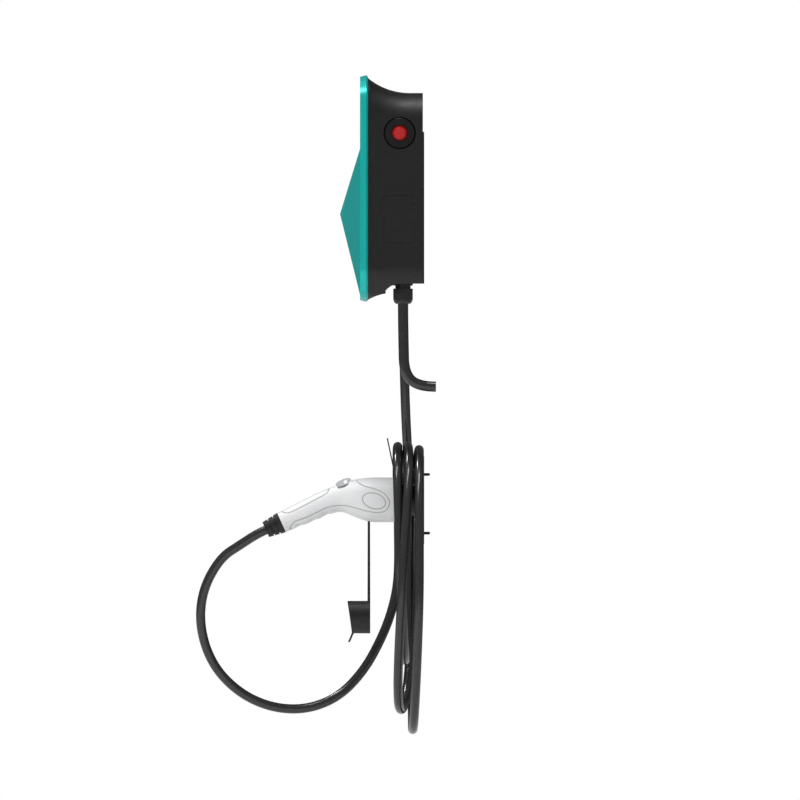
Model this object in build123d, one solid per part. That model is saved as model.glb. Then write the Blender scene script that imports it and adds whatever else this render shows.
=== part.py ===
from build123d import *
import math
import os

# Wall box that charges a car, with its cable, its plug and the holder they hang on.
# Lengths are in millimetres. Z is up, the wall is the plane Y = 0 and the front looks
# towards -Y. The origin is the centre of the back plate, on the wall face.

os.makedirs("parts", exist_ok=True)

# Front cover: a shallow tray with a four-sided pyramid pressed out of its face
cover_width = 255
cover_top = 199
cover_bottom = -141
cover_top_radius = 45
cover_bottom_radius = 54
cover_rear = -84.3
cover_depth = 12
cover_wall = 3
cover_draft = 2.4
cover_chamfer = 2.6
cover_land = 8
pyramid_half_width = 90
pyramid_base_top = 88.8
pyramid_base_bottom = -131
pyramid_apex_height = -9.3
pyramid_rise = 30

# Housing: flat sides, a top that flares out to the cover and a stepped chin below
housing_rear = -2
housing_side_inset = 4.5
housing_wall = 3
housing_rear_wall = 5
housing_top = 172.2
housing_top_radius = 45
housing_bottom = -113.85
housing_bottom_radius = 51
front_bottom = -138.4
flare_start = -22
flare_radius = 97.5
flare_steps = 5
chin_front_drop = 24.4
chin_rear_drop = 14.8
chin_rear = -57.75
chin_step = 4.3
chin_flare_radius = 28
flange_thickness = 3
flange_width = 8.5
gasket_width = 3
gasket_depth = 2
gasket_inset = 7

# Back plate on the wall, and the four holes for the wall screws
plate_side_margin = 38
plate_thickness = 4
plate_corner = 8
wall_hole_radius = 3.5
wall_hole_edge_x = 15
wall_hole_edge_z = 23.85

# Cover screws, driven up through the chin
cover_screw_side_gap = 53
cover_screw_y = -70
cover_screw_radius = 2
cover_screw_head_radius = 4
cover_screw_head = 3
cover_screw_sink = 5
cover_screw_boss = 6.5
cover_screw_edge = 0.6
cover_screw_length = 14
lug_width = 14
lug_depth = 12
lug_height = 10
lug_clearance = 0.6

# Round stop button in the right-hand side
button_y = -36.8
button_z = 112.2
button_recess_radius = 24.3
button_recess_depth = 3.5
button_collar_radius = 22.3
button_collar_height = 3.5
button_collar_edge = 0.4
button_barrel_radius = 15
button_barrel_length = 18
button_cap_radius = 11.3
button_cap_flat_radius = 7.65
button_cap_height = 7
button_cap_gap = 1
button_cap_set_back = 1
button_travel = 4
button_stem_radius = 4
button_nut_radius = 19
button_nut_height = 5
button_block_size = 30
button_block_depth = 24
button_block_edge = 2.5
button_block_screw = 2.5
button_wall_boss = 28
button_wall_thickening = 3.5

# Hinged flap over the breaker, flush with the right-hand side
flap_front = -61.8
flap_rear = -15.3
flap_top = 18.5
flap_bottom = -52.8
flap_corner = 5
flap_gap = 0.3
hinge_depth = 1.5
hinge_drop = 6
hinge_lug = 2.2
hinge_pin_radius = 0.7
hinge_pin_overhang = 4
running_gap = 0.1

# Breaker on its upright rail, facing the flap
rail_width = 35
rail_depth = 7.5
rail_sheet = 1
rail_inner_width = 25
rail_length = 100
bracket_sheet = 2
bracket_foot = 16
breaker_half_depth = 31
breaker_half_height = 35
breaker_nose_half = 22.5
breaker_set_back = 10
breaker_depth = 55.5
breaker_nose_depth = 9
breaker_modules = 4
lever_pivot_depth = 4.5
lever_reach = 10.5
lever_thickness = 4
lever_width = 16
lever_hub_radius = 3
lever_swing = 35
lever_slot_clearance = 1
trunnion_radius = 1.5
trunnion_length = 2

# Electronics and wiring pieces fixed to the rear wall
board_gap = 3
board_z = 62
board_width = 52
board_height = 140
board_thickness = 1.6
board_standoff = 10
standoff_radius = 3.5
standoff_margin = 6
relay_width = 26
relay_height = 36
relay_depth = 18
connector_count = 3
connector_pitch = 15
connector_width = 12
connector_height = 10
connector_depth = 11
board_edge = 3
capacitor_count = 3
capacitor_pitch = 17
capacitor_radius = 5.5
capacitor_depth = 22
chip_count = 2
chip_pitch = 20
chip_width = 16
chip_depth = 2.4
contactor_rail_gap = 30
contactor_z = 82
contactor_width = 46
contactor_height = 78
contactor_depth = 56
contactor_shoulder = 15.6
contactor_step = 14
contactor_poles = 4
well_radius = 3.8
well_depth = 9
terminal_rail_gap = 54
terminal_z = -62
terminal_count = 5
terminal_pitch = 10
terminal_height = 46
terminal_depth = 36
terminal_slope = 12
terminal_nose_half = 11.5
terminal_well_radius = 2.5
terminal_rail_depth = 7.5
earth_bar_z = -98
earth_bar_length = 60
earth_bar_size = 9
earth_bar_standoff = 4
earth_foot_radius = 3
earth_hole_count = 5
earth_hole_pitch = 9
earth_hole_radius = 2.25
sensor_ring_radius = 23
sensor_bore_radius = 12
sensor_thickness = 16
sensor_lift = 24

# Cable glands in the floor of the housing
gland_y = -31.8
gland_side_gap = 43
gland_across_flats = 29.4
gland_flange = 3
gland_neck_radius = 11.5
gland_neck = 4.3
gland_thread_radius = 12.5
gland_thread_length = 10
gland_nut_height = 17.7
gland_dome = 5.5
gland_dome_radius = 9.6
gland_waist_radius = 13.818
gland_dome_mid_radius = 12.85074
gland_dome_mid_drop = 3.3
hexagon_turn = 0.9
gland_locknut_flats = 32
gland_locknut = 5
gland_clearance = 0.3
gland_seal_room = 0.9
gland_seat_clearance = 0.6

# Cables
supply_cable_radius = 7.8
charge_cable_radius = 7
arc_share = 0.45

# Holder for the coil and the plug
holder_z = -438
saddle_radius = 74
saddle_wall = 4
saddle_angle = 19
saddle_step = 6
saddle_rear_front = -13.8
saddle_slot_front = -17.6
saddle_slot_drop = 24.7
holder_plate = 3
holder_front = -44
front_sheet = 1.5
front_plate_inset = 1
front_plate_lower = -12
lip_width = 40
lip_sheet = 2
lip_gap = 1
lip_bend_drop = 24
lip_rise = 42.5
lip_lean = 8.85
socket_radius = 24
socket_bore = 22.3
socket_flange_radius = 36
socket_flange = 2
socket_ear_x = 50
socket_ear_radius = 8
rivet_radius = 2.5
rivet_head_radius = 4.5
rivet_head = 2
holder_screw_radius = 2.1
holder_screw_head_radius = 4
holder_screw_head = 3
holder_screw_length = 11.7
holder_screw_edge = 1
holder_screw_point = 1.05
holder_screw_upper = 38
holder_screw_spacing = 88

# Plug: a pistol-like handle drawn as ellipses along a bent line
plug_ring = 5
plug_wall = 2.6
plug_half_height = 33.5
plug_half_width = 30
nose_radius = 21.9
nose_wall = 2.2
nose_length = 33
nose_flange_radius = 25
nose_flange = 4
pin_block_set_back = 6
pin_block_length = 20
contact_radius = 3
contact_bore = 1.8
contact_spread = 10.5
plug_length = 164.5
boot_front_radius = 16
boot_rear_radius = 12.3
boot_length = 26
boot_ribs = 3
boot_groove = 1.6
boot_groove_depth = 2

# Latch lever of the plug, pressed at its thumb pad
latch_pivot_y = -87.3
latch_pivot_z = 25.6
latch_hub_radius = 2.8
latch_pin_radius = 1.5
latch_pin_half_length = 14
latch_arm = 2.6
latch_arm_width = 8
latch_arm_low = 24.6
latch_tooth_y = -31
latch_tooth_length = 4
latch_tooth_low = 22.7
latch_slot_clearance = 0.8
latch_swing = 3
latch_lift = 3
latch_side_gap = 0.3
pad_y = -121.5
pad_z = 26.2
pad_half_width = 9
pad_half_length = 12.4
pad_half_height = 5
pad_slope = 23
pad_gap = 0.7
pad_edge = 1
pad_eye_radius = 2.6
pad_eye_forward = 3.4
pad_eye_up = 0.7
web_knee_y = -108
web_knee_low = 20.5
web_knee_high = 25.5
web_rear_y = -130
web_rear_low = 15
web_rear_high = 19.5
spring_wire = 0.7
spring_turns = 4
spring_pitch = 0.65
spring_leg = 9

# Dust cap that hangs from the plug on its own strap
strap_y = -82.9
strap_thickness = 2.4
strap_width = 12
strap_top = -24.2
strap_bar_width = 18
strap_bar_height = 3
strap_bar_depth = 5
cap_z = -614
cap_radius = 24
cap_bore = 22
cap_depth_top = 30
cap_depth_bottom = 21
cap_lip_length = 15
cap_lip_width = 14
cap_lip_thickness = 2
cap_lip_angle = 28

# Coil of the charging cable on the saddle, as one outer shape
coil_top_clearance = -1
coil_bottom = -788
coil_half_width = 145
coil_inner_bottom = -670
coil_inner_half_width = 97
coil_front = -46.2
coil_rear = -0.4
coil_clearance = 0.5
coil_taper_top = -600
coil_taper = 12

# Worked-out places used by more than one piece
cover_front = cover_rear - cover_depth
side_x = cover_width / 2 - housing_side_inset
plate_half_width = side_x - plate_side_margin
plate_half_height = -housing_bottom
wall_hole_x = plate_half_width - wall_hole_edge_x
wall_hole_z = plate_half_height - wall_hole_edge_z
cover_screw_x = side_x - cover_screw_side_gap
breaker_nose_x = side_x - breaker_set_back
breaker_shoulder_x = breaker_nose_x - breaker_nose_depth
lever_pivot_x = breaker_nose_x - lever_pivot_depth
bracket_x = breaker_nose_x - breaker_depth - rail_depth
contactor_x = bracket_x - contactor_rail_gap
board_x = contactor_x - contactor_width / 2 - board_gap - board_width / 2
terminal_x = bracket_x - terminal_rail_gap
earth_bar_x = terminal_x
supply_gland_x = side_x - gland_side_gap
charge_gland_x = -supply_gland_x
saddle_rear_radius = saddle_radius - saddle_step
saddle_slot_height = saddle_radius - saddle_slot_drop
front_plate_radius = saddle_radius - front_plate_inset
lip_bend = saddle_radius - lip_bend_drop
plug_face = holder_front
coil_top = holder_z + saddle_radius + 2 * charge_cable_radius + coil_top_clearance
inner_side_x = side_x - housing_wall
inner_rear = housing_rear - housing_rear_wall
inner_floor = housing_bottom + housing_wall
flap_mid_y = (flap_front + flap_rear) / 2
flap_mid_z = (flap_top + flap_bottom) / 2
hinge_x = side_x - hinge_depth
hinge_z = flap_top - hinge_drop
button_face_x = side_x - button_recess_depth + button_collar_height
cap_face_x = button_face_x - button_cap_set_back
button_cap_bevel = button_cap_height / 3
chin_bow = chin_step / 3
lever_edge = lever_thickness / 3
terminal_well_offset = terminal_height / 6
nose_edge = nose_wall / 3
latch_tooth_slope = latch_tooth_length / 3


def upright(y):
    """Plane parallel to the wall at depth y: its axes are X and Z, and it faces the front."""
    return Plane(origin=(0, y, 0), x_dir=(1, 0, 0), z_dir=(0, -1, 0))


def across(x):
    """Plane across the width at x: its axes are Y and Z, and it faces +X."""
    return Plane(origin=(x, 0, 0), x_dir=(0, 1, 0), z_dir=(1, 0, 0))


def along_x(x0, x1, sketch):
    """Block between x0 and x1 whose section is drawn in (Y, Z)."""
    return extrude(across(x0) * sketch, x1 - x0)


def along_y(rear, front, sketch):
    """Block from the depth rear forward to the depth front, its section drawn in (X, Z)."""
    return extrude(upright(rear) * sketch, rear - front)


def along_z(low, high, sketch):
    """Block between two heights whose section is drawn in (X, Y)."""
    return extrude(Plane.XY.offset(low) * sketch, high - low)


def span(u0, u1, v0, v1):
    """Rectangle between two corners."""
    return Pos((u0 + u1) / 2, (v0 + v1) / 2) * Rectangle(abs(u1 - u0), abs(v1 - v0))


def ring(outer, inner):
    """Flat ring."""
    return Circle(outer) - Circle(inner)


def hexagon(across_flats):
    """Hexagon by its width across flats, with two flats facing the sketch's own y axis."""
    return RegularPolygon(across_flats / math.sqrt(3), 6)


def save(name, shape):
    """Writes one piece to its own file."""
    export_step(shape, f"parts/{name}.step")


def rounded_outline(half_width, top, bottom, top_radius, bottom_radius):
    """Upright rectangle with one radius at the two upper corners and one at the lower."""
    sheet = span(-half_width, half_width, bottom, top)
    sheet = fillet(sheet.vertices().group_by(Axis.Y)[-1], top_radius)
    return fillet(sheet.vertices().group_by(Axis.Y)[0], bottom_radius)


def cover_outline(inset):
    """The cover's outline, moved inwards."""
    return rounded_outline(
        cover_width / 2 - inset,
        cover_top - inset,
        cover_bottom + inset,
        cover_top_radius - inset,
        cover_bottom_radius - inset,
    )


# Front cover and housing


def pyramid(shift):
    """Four-sided pyramid standing on the cover's face, moved back by shift."""
    base = span(-pyramid_half_width, pyramid_half_width, pyramid_base_bottom, pyramid_base_top)
    apex = Vertex(0, cover_front - pyramid_rise + shift, pyramid_apex_height)
    return loft([(upright(cover_front + shift) * base).face(), apex], ruled=True)


def make_front_cover():
    """Tray with a drafted rim and a chamfered rear edge, hollow behind its pyramid."""
    widest = cover_rear - cover_chamfer
    face = (upright(cover_front) * cover_outline(cover_draft)).face()
    middle = (upright(widest) * cover_outline(0)).face()
    back = (upright(cover_rear) * cover_outline(cover_chamfer)).face()
    block = loft([face, middle], ruled=True) + loft([middle, back], ruled=True) + pyramid(0)
    pocket = along_y(cover_rear, cover_front + cover_wall, cover_outline(cover_chamfer + cover_land))
    tray = block - pocket - pyramid(cover_wall + running_gap)
    for x in (-cover_screw_x, cover_screw_x):
        tray += cover_lug(x, block)
    return tray


def cover_lug(x, block):
    """Lug of the cover that reaches into the housing over a screw in the chin."""
    rear = cover_screw_y + lug_depth / 2
    low = chin_surface(rear) + cover_screw_sink + housing_wall + lug_clearance
    sheet = span(x - lug_width / 2, x + lug_width / 2, low, low + lug_height)
    lug = along_y(rear, cover_rear, sheet)
    lug += along_y(cover_rear, cover_front - pyramid_rise, sheet) & block
    hole = Pos(x, cover_screw_y) * Circle(cover_screw_radius + running_gap)
    return lug - along_z(low, low + lug_height, hole)


def flare_rise(depth, radius):
    """Height gained by the flared top at a depth: an arc that leaves the flat top tangentially."""
    run = max(0, flare_start - depth)
    return radius - math.sqrt(radius**2 - run**2)


def housing_section(depth, inset):
    """Cross-section of the housing at a depth, moved inwards."""
    rise = flare_rise(depth, flare_radius + inset)
    sheet = rounded_outline(
        side_x - inset,
        housing_top - inset + rise,
        front_bottom + inset,
        housing_top_radius - inset,
        housing_bottom_radius - inset,
    )
    return (upright(depth) * sheet).face()


def chin_arc_mid():
    """Middle of the chin's curved underside."""
    mid_y = (cover_rear + chin_rear) / 2
    mid_drop = (chin_front_drop + chin_rear_drop) / 2 - chin_bow
    return mid_y, housing_bottom - mid_drop


def chin_surface(depth):
    """Height of the chin's underside at a depth, between its front and its step."""
    share = (depth - cover_rear) / (chin_rear - cover_rear)
    straight = chin_front_drop + share * (chin_rear_drop - chin_front_drop)
    return housing_bottom - straight + 4 * share * (1 - share) * chin_bow


def below_housing(lift, forward):
    """Space under the housing: a stepped chin in front that curves up to the flat floor."""
    floor = housing_bottom + lift
    step = chin_rear - forward
    drop = chin_rear_drop - chin_step
    run = math.sqrt(2 * chin_flare_radius * drop - drop**2)
    half_run = run / 2
    half_drop = chin_flare_radius - math.sqrt(chin_flare_radius**2 - half_run**2)
    mid_y, mid_z = chin_arc_mid()
    front = (cover_rear, floor - chin_front_drop)
    step_low = (step, floor - chin_rear_drop)
    step_high = (step, floor - drop)
    flare_end = (step + run, floor)
    deep = front_bottom - chin_front_drop
    edges = [
        ThreePointArc(front, (mid_y - forward / 2, mid_z + lift), step_low),
        Line(step_low, step_high),
        ThreePointArc(step_high, (step + half_run, floor - half_drop), flare_end),
        Line(flare_end, (0, floor)),
        Line((0, floor), (0, deep)),
        Line((0, deep), (cover_rear, deep)),
        Line((cover_rear, deep), front),
    ]
    return along_x(-cover_width / 2, cover_width / 2, make_face(edges))


def housing_block(inset, rear, front):
    """Solid of the housing's outer shape, moved inwards, between two depths."""
    depths = [flare_start + (front - flare_start) * step / flare_steps for step in range(flare_steps + 1)]
    straight = along_y(rear, flare_start, rounded_outline(
        side_x - inset,
        housing_top - inset,
        front_bottom + inset,
        housing_top_radius - inset,
        housing_bottom_radius - inset,
    ))
    flared = loft([housing_section(depth, inset) for depth in depths])
    return straight + flared


def button_hole(radius):
    """Circle on the stop button's axis, drawn in (Y, Z)."""
    return Pos(button_y, button_z) * Circle(radius)


def flap_outline(grow):
    """Rounded rectangle of the flap, drawn in (Y, Z) and moved outwards."""
    sheet = span(flap_front - grow, flap_rear + grow, flap_bottom - grow, flap_top + grow)
    return fillet(sheet.vertices(), flap_corner + grow)


def wall_holes(radius):
    """The four wall-screw holes, drawn in (X, Z)."""
    places = [(x, z) for x in (-wall_hole_x, wall_hole_x) for z in (-wall_hole_z, wall_hole_z)]
    return [Pos(x, z) * Circle(radius) for x, z in places]


def make_housing():
    """Hollow housing with its front flange, chin, wall-screw holes, button seat and window."""
    shell = housing_block(0, housing_rear, cover_rear) - below_housing(0, 0)
    hollow = housing_block(housing_wall, inner_rear, cover_rear + flange_thickness)
    shell -= hollow - below_housing(housing_wall, housing_wall)
    mouth_inset = housing_side_inset + flange_width
    shell -= along_y(cover_rear + flange_thickness + 1, cover_rear, cover_outline(mouth_inset))
    shell -= along_y(cover_rear + gasket_depth, cover_rear, gasket_band())
    plate_space = span(-plate_half_width, plate_half_width, housing_bottom, plate_half_height)
    shell -= along_y(housing_rear, -plate_thickness, plate_space)
    for hole in wall_holes(wall_hole_radius):
        shell -= along_y(housing_rear, inner_rear, hole)
    boss_x = inner_side_x - button_wall_thickening
    shell += along_x(boss_x, inner_side_x, button_hole(button_wall_boss))
    shell -= along_x(side_x - button_recess_depth, cover_width, button_hole(button_recess_radius))
    shell -= along_x(0, side_x, button_hole(button_barrel_radius + running_gap))
    shell += hinge_lugs()
    shell -= along_x(inner_side_x - hinge_lug, cover_width, flap_outline(flap_gap))
    shell -= hinge_bore(hinge_pin_overhang + running_gap, hinge_pin_radius + running_gap)
    seat_radius = gland_across_flats / math.sqrt(3) + gland_seat_clearance
    for x in (supply_gland_x, charge_gland_x):
        place = gland_place(x)
        shell += along_z(housing_bottom, inner_floor, place * Circle(seat_radius + housing_wall))
        shell -= along_z(front_bottom, housing_bottom, place * Circle(seat_radius))
        bore = place * Circle(gland_thread_radius + gland_clearance)
        shell -= along_z(housing_bottom, inner_floor, bore)
    seat = chin_surface(cover_screw_y) + cover_screw_sink
    for x in (-cover_screw_x, cover_screw_x):
        place = Pos(x, cover_screw_y)
        boss = along_z(front_bottom, seat + housing_wall, place * Circle(cover_screw_boss))
        shell += boss - below_housing(0, 0)
        shell -= along_z(front_bottom, seat, place * Circle(cover_screw_head_radius + running_gap))
        bore = place * Circle(cover_screw_radius + running_gap)
        shell -= along_z(front_bottom, seat + housing_wall, bore)
    return shell


def gasket_band():
    """Closed band that follows the cover's outline, drawn in (X, Z)."""
    return cover_outline(gasket_inset) - cover_outline(gasket_inset + gasket_width)


def make_gasket():
    """Soft seal in the flange's groove, flush with the cover's rear land."""
    return along_y(cover_rear + gasket_depth, cover_rear, gasket_band())


def make_back_plate():
    """Steel plate between the housing and the wall, with four holes."""
    sheet = span(-plate_half_width, plate_half_width, housing_bottom, plate_half_height)
    sheet = fillet(sheet.vertices().group_by(Axis.Y)[-1], plate_corner)
    for hole in wall_holes(wall_hole_radius):
        sheet -= hole
    return along_y(0, -plate_thickness, sheet)


def make_cover_screws():
    """Two screws driven upwards through the chin into the cover's lugs."""
    screws = []
    low = chin_surface(cover_screw_y) + cover_screw_sink - cover_screw_head
    for x in (-cover_screw_x, cover_screw_x):
        place = Pos(x, cover_screw_y)
        head = along_z(low, low + cover_screw_head, place * Circle(cover_screw_head_radius))
        head = chamfer(head.edges().group_by(Axis.Z)[0], cover_screw_edge)
        top = low + cover_screw_head + cover_screw_length
        shank = along_z(low, top, place * Circle(cover_screw_radius))
        screws.append(head + shank)
    return Compound(children=screws)


# Stop button


def make_button_collar():
    """Round collar in the side's recess, its barrel passing through the wall."""
    seat = side_x - button_recess_depth
    collar = along_x(seat, button_face_x, button_hole(button_collar_radius))
    collar = chamfer(collar.edges().group_by(Axis.X)[-1], button_collar_edge)
    collar += along_x(seat - button_barrel_length, seat, button_hole(button_barrel_radius))
    well = cap_face_x - button_cap_height - button_travel - 2 * running_gap
    collar -= along_x(well, button_face_x, button_hole(button_cap_radius + button_cap_gap))
    bore = button_hole(button_stem_radius + button_cap_gap)
    return collar - along_x(seat - button_barrel_length, well, bore)


def make_button_cap():
    """Red button: a shallow cone with a flat face, on a stem that reaches the contact block."""
    base = cap_face_x - button_cap_height
    profile = Polyline(
        (base, 0),
        (base, button_cap_radius),
        (cap_face_x - button_cap_bevel, button_cap_radius),
        (cap_face_x, button_cap_flat_radius),
        (cap_face_x, 0),
        close=True,
    )
    cap = revolve(make_face(profile), Axis.X)
    cap = Pos(0, button_y, button_z) * cap
    stem_end = side_x - button_recess_depth - button_barrel_length - button_travel
    return cap + along_x(stem_end, base, button_hole(button_stem_radius))


def make_button_nut():
    """Ring nut that clamps the collar from inside."""
    outer = inner_side_x - button_wall_thickening
    band = button_hole(button_nut_radius) - button_hole(button_barrel_radius + running_gap)
    return along_x(outer - button_nut_height, outer, band)


def make_button_block():
    """Contact block behind the barrel, open where the stem enters."""
    front = side_x - button_recess_depth - button_barrel_length
    half = button_block_size / 2
    sheet = span(button_y - half, button_y + half, button_z - half, button_z + half)
    block = along_x(front - button_block_depth, front, fillet(sheet.vertices(), button_block_edge))
    depth = 2 * button_travel + button_cap_gap
    block -= along_x(front - depth, front, button_hole(button_stem_radius + button_cap_gap))
    for side in (-1, 1):
        screw = Pos(button_y + side * half / 2, button_z + half) * Circle(button_block_screw)
        block -= along_x(front - button_block_depth, front - button_block_depth / 2, screw)
    return block


# Flap, its hinge and the breaker behind it


def hinge_bore(overhang, radius):
    """Rod on the flap's hinge line."""
    rod = Plane(origin=(hinge_x, flap_rear + overhang, hinge_z), x_dir=(1, 0, 0), z_dir=(0, -1, 0))
    return extrude(rod * Circle(radius), flap_rear - flap_front + 2 * overhang)


def hinge_lugs():
    """Thickening inside the wall at both ends of the hinge pin."""
    length = hinge_pin_overhang + housing_wall
    low = hinge_z - housing_wall
    high = hinge_z + housing_wall
    rear = span(flap_rear + flap_gap, flap_rear + length, low, high)
    front = span(flap_front - length, flap_front - flap_gap, low, high)
    return along_x(inner_side_x - hinge_lug, inner_side_x, rear + front)


def make_flap():
    """Flap in the thickness of the wall, bored near its upper edge for the hinge pin."""
    flap = along_x(inner_side_x, side_x, flap_outline(0))
    return flap - hinge_bore(hinge_pin_overhang, hinge_pin_radius + running_gap / 2)


def make_rail_bracket():
    """Angle of sheet steel that stands on the rear wall and carries the upright rail."""
    half = rail_length / 2 + bracket_sheet
    front = flap_mid_y - rail_width / 2
    foot = span(bracket_x - bracket_foot, bracket_x, inner_rear - bracket_sheet, inner_rear)
    web = span(bracket_x - bracket_sheet, bracket_x, front, inner_rear)
    return along_z(flap_mid_z - half, flap_mid_z + half, foot + web)


def make_din_rail():
    """Top-hat rail standing upright on the bracket's web."""
    half = rail_width / 2
    inner = rail_inner_width / 2
    deep = bracket_x + rail_depth
    sheet = span(bracket_x, bracket_x + rail_sheet, flap_mid_y - inner, flap_mid_y + inner)
    for side in (-1, 1):
        wall = sorted((flap_mid_y + side * inner, flap_mid_y + side * (inner - rail_sheet)))
        brim = sorted((flap_mid_y + side * (inner - rail_sheet), flap_mid_y + side * half))
        sheet += span(bracket_x, deep, *wall)
        sheet += span(deep - rail_sheet, deep, *brim)
    return along_z(flap_mid_z - rail_length / 2, flap_mid_z + rail_length / 2, sheet)


def make_breaker():
    """Residual-current breaker: a stepped block of four modules with a slot for its lever."""
    low = flap_mid_z - breaker_half_height
    high = flap_mid_z + breaker_half_height
    rear_x = bracket_x + rail_depth
    front = flap_mid_y - breaker_half_depth
    rear = flap_mid_y + breaker_half_depth
    nose_front = flap_mid_y - breaker_nose_half
    nose_rear = flap_mid_y + breaker_nose_half
    body = span(rear_x, breaker_shoulder_x, front, rear)
    nose = span(breaker_shoulder_x, breaker_nose_x, nose_front, nose_rear)
    block = along_z(low, high, body + nose)
    hook = span(rear_x - rail_sheet, rear_x, flap_mid_y + rail_width / 2, rear)
    block += along_z(low, high, hook)
    pitch = 2 * breaker_half_height / breaker_modules
    for seam in range(1, breaker_modules):
        cut = span(nose_front, nose_rear, *seam_band(low + seam * pitch))
        block -= along_x(breaker_nose_x - rail_sheet, breaker_nose_x, cut)
    slot_half = lever_width / 2 + lever_slot_clearance
    slot_reach = lever_reach + lever_slot_clearance
    slot = Pos(flap_mid_y, flap_mid_z) * Rectangle(2 * slot_reach, 2 * slot_half)
    block -= along_x(lever_pivot_x - lever_hub_radius - lever_slot_clearance, breaker_nose_x, slot)
    bore_half = slot_half + trunnion_length + running_gap
    bore = Pos(lever_pivot_x, flap_mid_y) * Circle(trunnion_radius + running_gap / 2)
    return block - along_z(flap_mid_z - bore_half, flap_mid_z + bore_half, bore)


def seam_band(height):
    """Lower and upper edge of a fine seam at a height."""
    return height - flap_gap, height + flap_gap


def make_breaker_lever():
    """Switch lever on a hub, leaning to its on position."""
    hub = Pos(lever_pivot_x, flap_mid_y) * Circle(lever_hub_radius)
    blade = span(0, lever_reach, -lever_thickness / 2, lever_thickness / 2)
    blade = fillet(blade.vertices().group_by(Axis.X)[-1], lever_edge)
    blade = Pos(lever_pivot_x, flap_mid_y) * Rot(0, 0, -lever_swing) * blade
    half = lever_width / 2
    lever = along_z(flap_mid_z - half, flap_mid_z + half, hub + blade)
    reach = half + lever_slot_clearance + trunnion_length
    trunnion = Pos(lever_pivot_x, flap_mid_y) * Circle(trunnion_radius)
    return lever + along_z(flap_mid_z - reach, flap_mid_z + reach, trunnion)


# Electronics on the rear wall


def board_corners():
    """Places of the board's four standoffs, in (X, Z)."""
    reach_x = board_width / 2 - standoff_margin
    reach_z = board_height / 2 - standoff_margin
    return [(board_x + i * reach_x, board_z + k * reach_z) for i in (-1, 1) for k in (-1, 1)]


def make_control_board():
    """Printed board with its blocks: relay, capacitors, chips and a row of connectors."""
    face = inner_rear - board_standoff
    sheet = Pos(board_x, board_z) * Rectangle(board_width, board_height)
    sheet = fillet(sheet.vertices(), standoff_margin / 2)
    for x, z in board_corners():
        sheet -= Pos(x, z) * Circle(standoff_radius / 2)
    front = face - board_thickness
    board = along_y(face, front, sheet)
    left = board_x - board_width / 2 + connector_width
    right = board_x + board_width / 2 - board_edge
    relay_z = board_z + board_height / 4
    relay = Pos(right - relay_width / 2, relay_z) * Rectangle(relay_width, relay_height)
    board += along_y(front, front - relay_depth, relay)
    for step in range(connector_count):
        place = Pos(left + step * connector_pitch, board_z - board_height / 2 + connector_height)
        connector = place * Rectangle(connector_width, connector_height)
        board += along_y(front, front - connector_depth, connector)
    for step in range(capacitor_count):
        place = Pos(left, relay_z + (step - 1) * capacitor_pitch)
        board += along_y(front, front - capacitor_depth, place * Circle(capacitor_radius))
    for step in range(chip_count):
        place = Pos(board_x + (step - 0.5) * chip_pitch, board_z - board_height / 8)
        board += along_y(front, front - chip_depth, place * Rectangle(chip_width, chip_width))
    return board


def make_board_standoffs():
    """Four hexagonal standoffs with pegs that hold the board."""
    posts = []
    face = inner_rear - board_standoff
    for x, z in board_corners():
        place = Pos(x, z)
        post = along_y(inner_rear, face, place * hexagon(2 * standoff_radius))
        peg = along_y(face, face - board_thickness, place * Circle(standoff_radius / 2 - running_gap))
        posts.append(post + peg)
    return Compound(children=posts)


def make_contactor():
    """Contactor: a stepped block with rows of terminal wells at top and bottom."""
    half = contactor_width / 2
    low = contactor_z - contactor_height / 2
    high = contactor_z + contactor_height / 2
    front = inner_rear - contactor_depth
    middle = front + contactor_step
    rows = (low + contactor_shoulder / 2, high - contactor_shoulder / 2)
    block = along_y(inner_rear, middle, span(contactor_x - half, contactor_x + half, low, high))
    nose = span(contactor_x - half, contactor_x + half, low + contactor_shoulder, high - contactor_shoulder)
    block += along_y(middle, front, nose)
    for column in range(contactor_poles):
        x = contactor_x - half + (column + 0.5) * contactor_width / contactor_poles
        for z in rows:
            block -= along_y(middle + well_depth, middle, Pos(x, z) * Circle(well_radius))
    return block


def make_terminal_rail():
    """Short lying rail for the supply terminals."""
    half = terminal_count * terminal_pitch / 2 + terminal_pitch
    inner = rail_inner_width / 2
    deep = inner_rear - terminal_rail_depth
    sheet = span(inner_rear - rail_sheet, inner_rear, terminal_z - inner, terminal_z + inner)
    for side in (-1, 1):
        wall = sorted((terminal_z + side * inner, terminal_z + side * (inner - rail_sheet)))
        brim = sorted((terminal_z + side * (inner - rail_sheet), terminal_z + side * rail_width / 2))
        sheet += span(deep, inner_rear, *wall)
        sheet += span(deep, deep + rail_sheet, *brim)
    return along_x(terminal_x - half, terminal_x + half, sheet)


def make_terminals():
    """Row of supply terminals: sloped blocks with screw wells."""
    blocks = []
    rear = inner_rear - terminal_rail_depth
    front = rear - terminal_depth
    half = terminal_height / 2
    profile = Polyline(
        (rear, terminal_z - half),
        (rear, terminal_z + half),
        (front + terminal_slope, terminal_z + half),
        (front, terminal_z + terminal_nose_half),
        (front, terminal_z - terminal_nose_half),
        (front + terminal_slope, terminal_z - half),
        close=True,
    )
    for index in range(terminal_count):
        x0 = terminal_x + (index - terminal_count / 2) * terminal_pitch
        block = along_x(x0 + running_gap, x0 + terminal_pitch - running_gap, make_face(profile))
        for side in (-1, 1):
            place = Pos(x0 + terminal_pitch / 2, terminal_z + side * terminal_well_offset)
            block -= along_y(front + terminal_slope, front, place * Circle(terminal_well_radius))
        blocks.append(block)
    return Compound(children=blocks)


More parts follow.
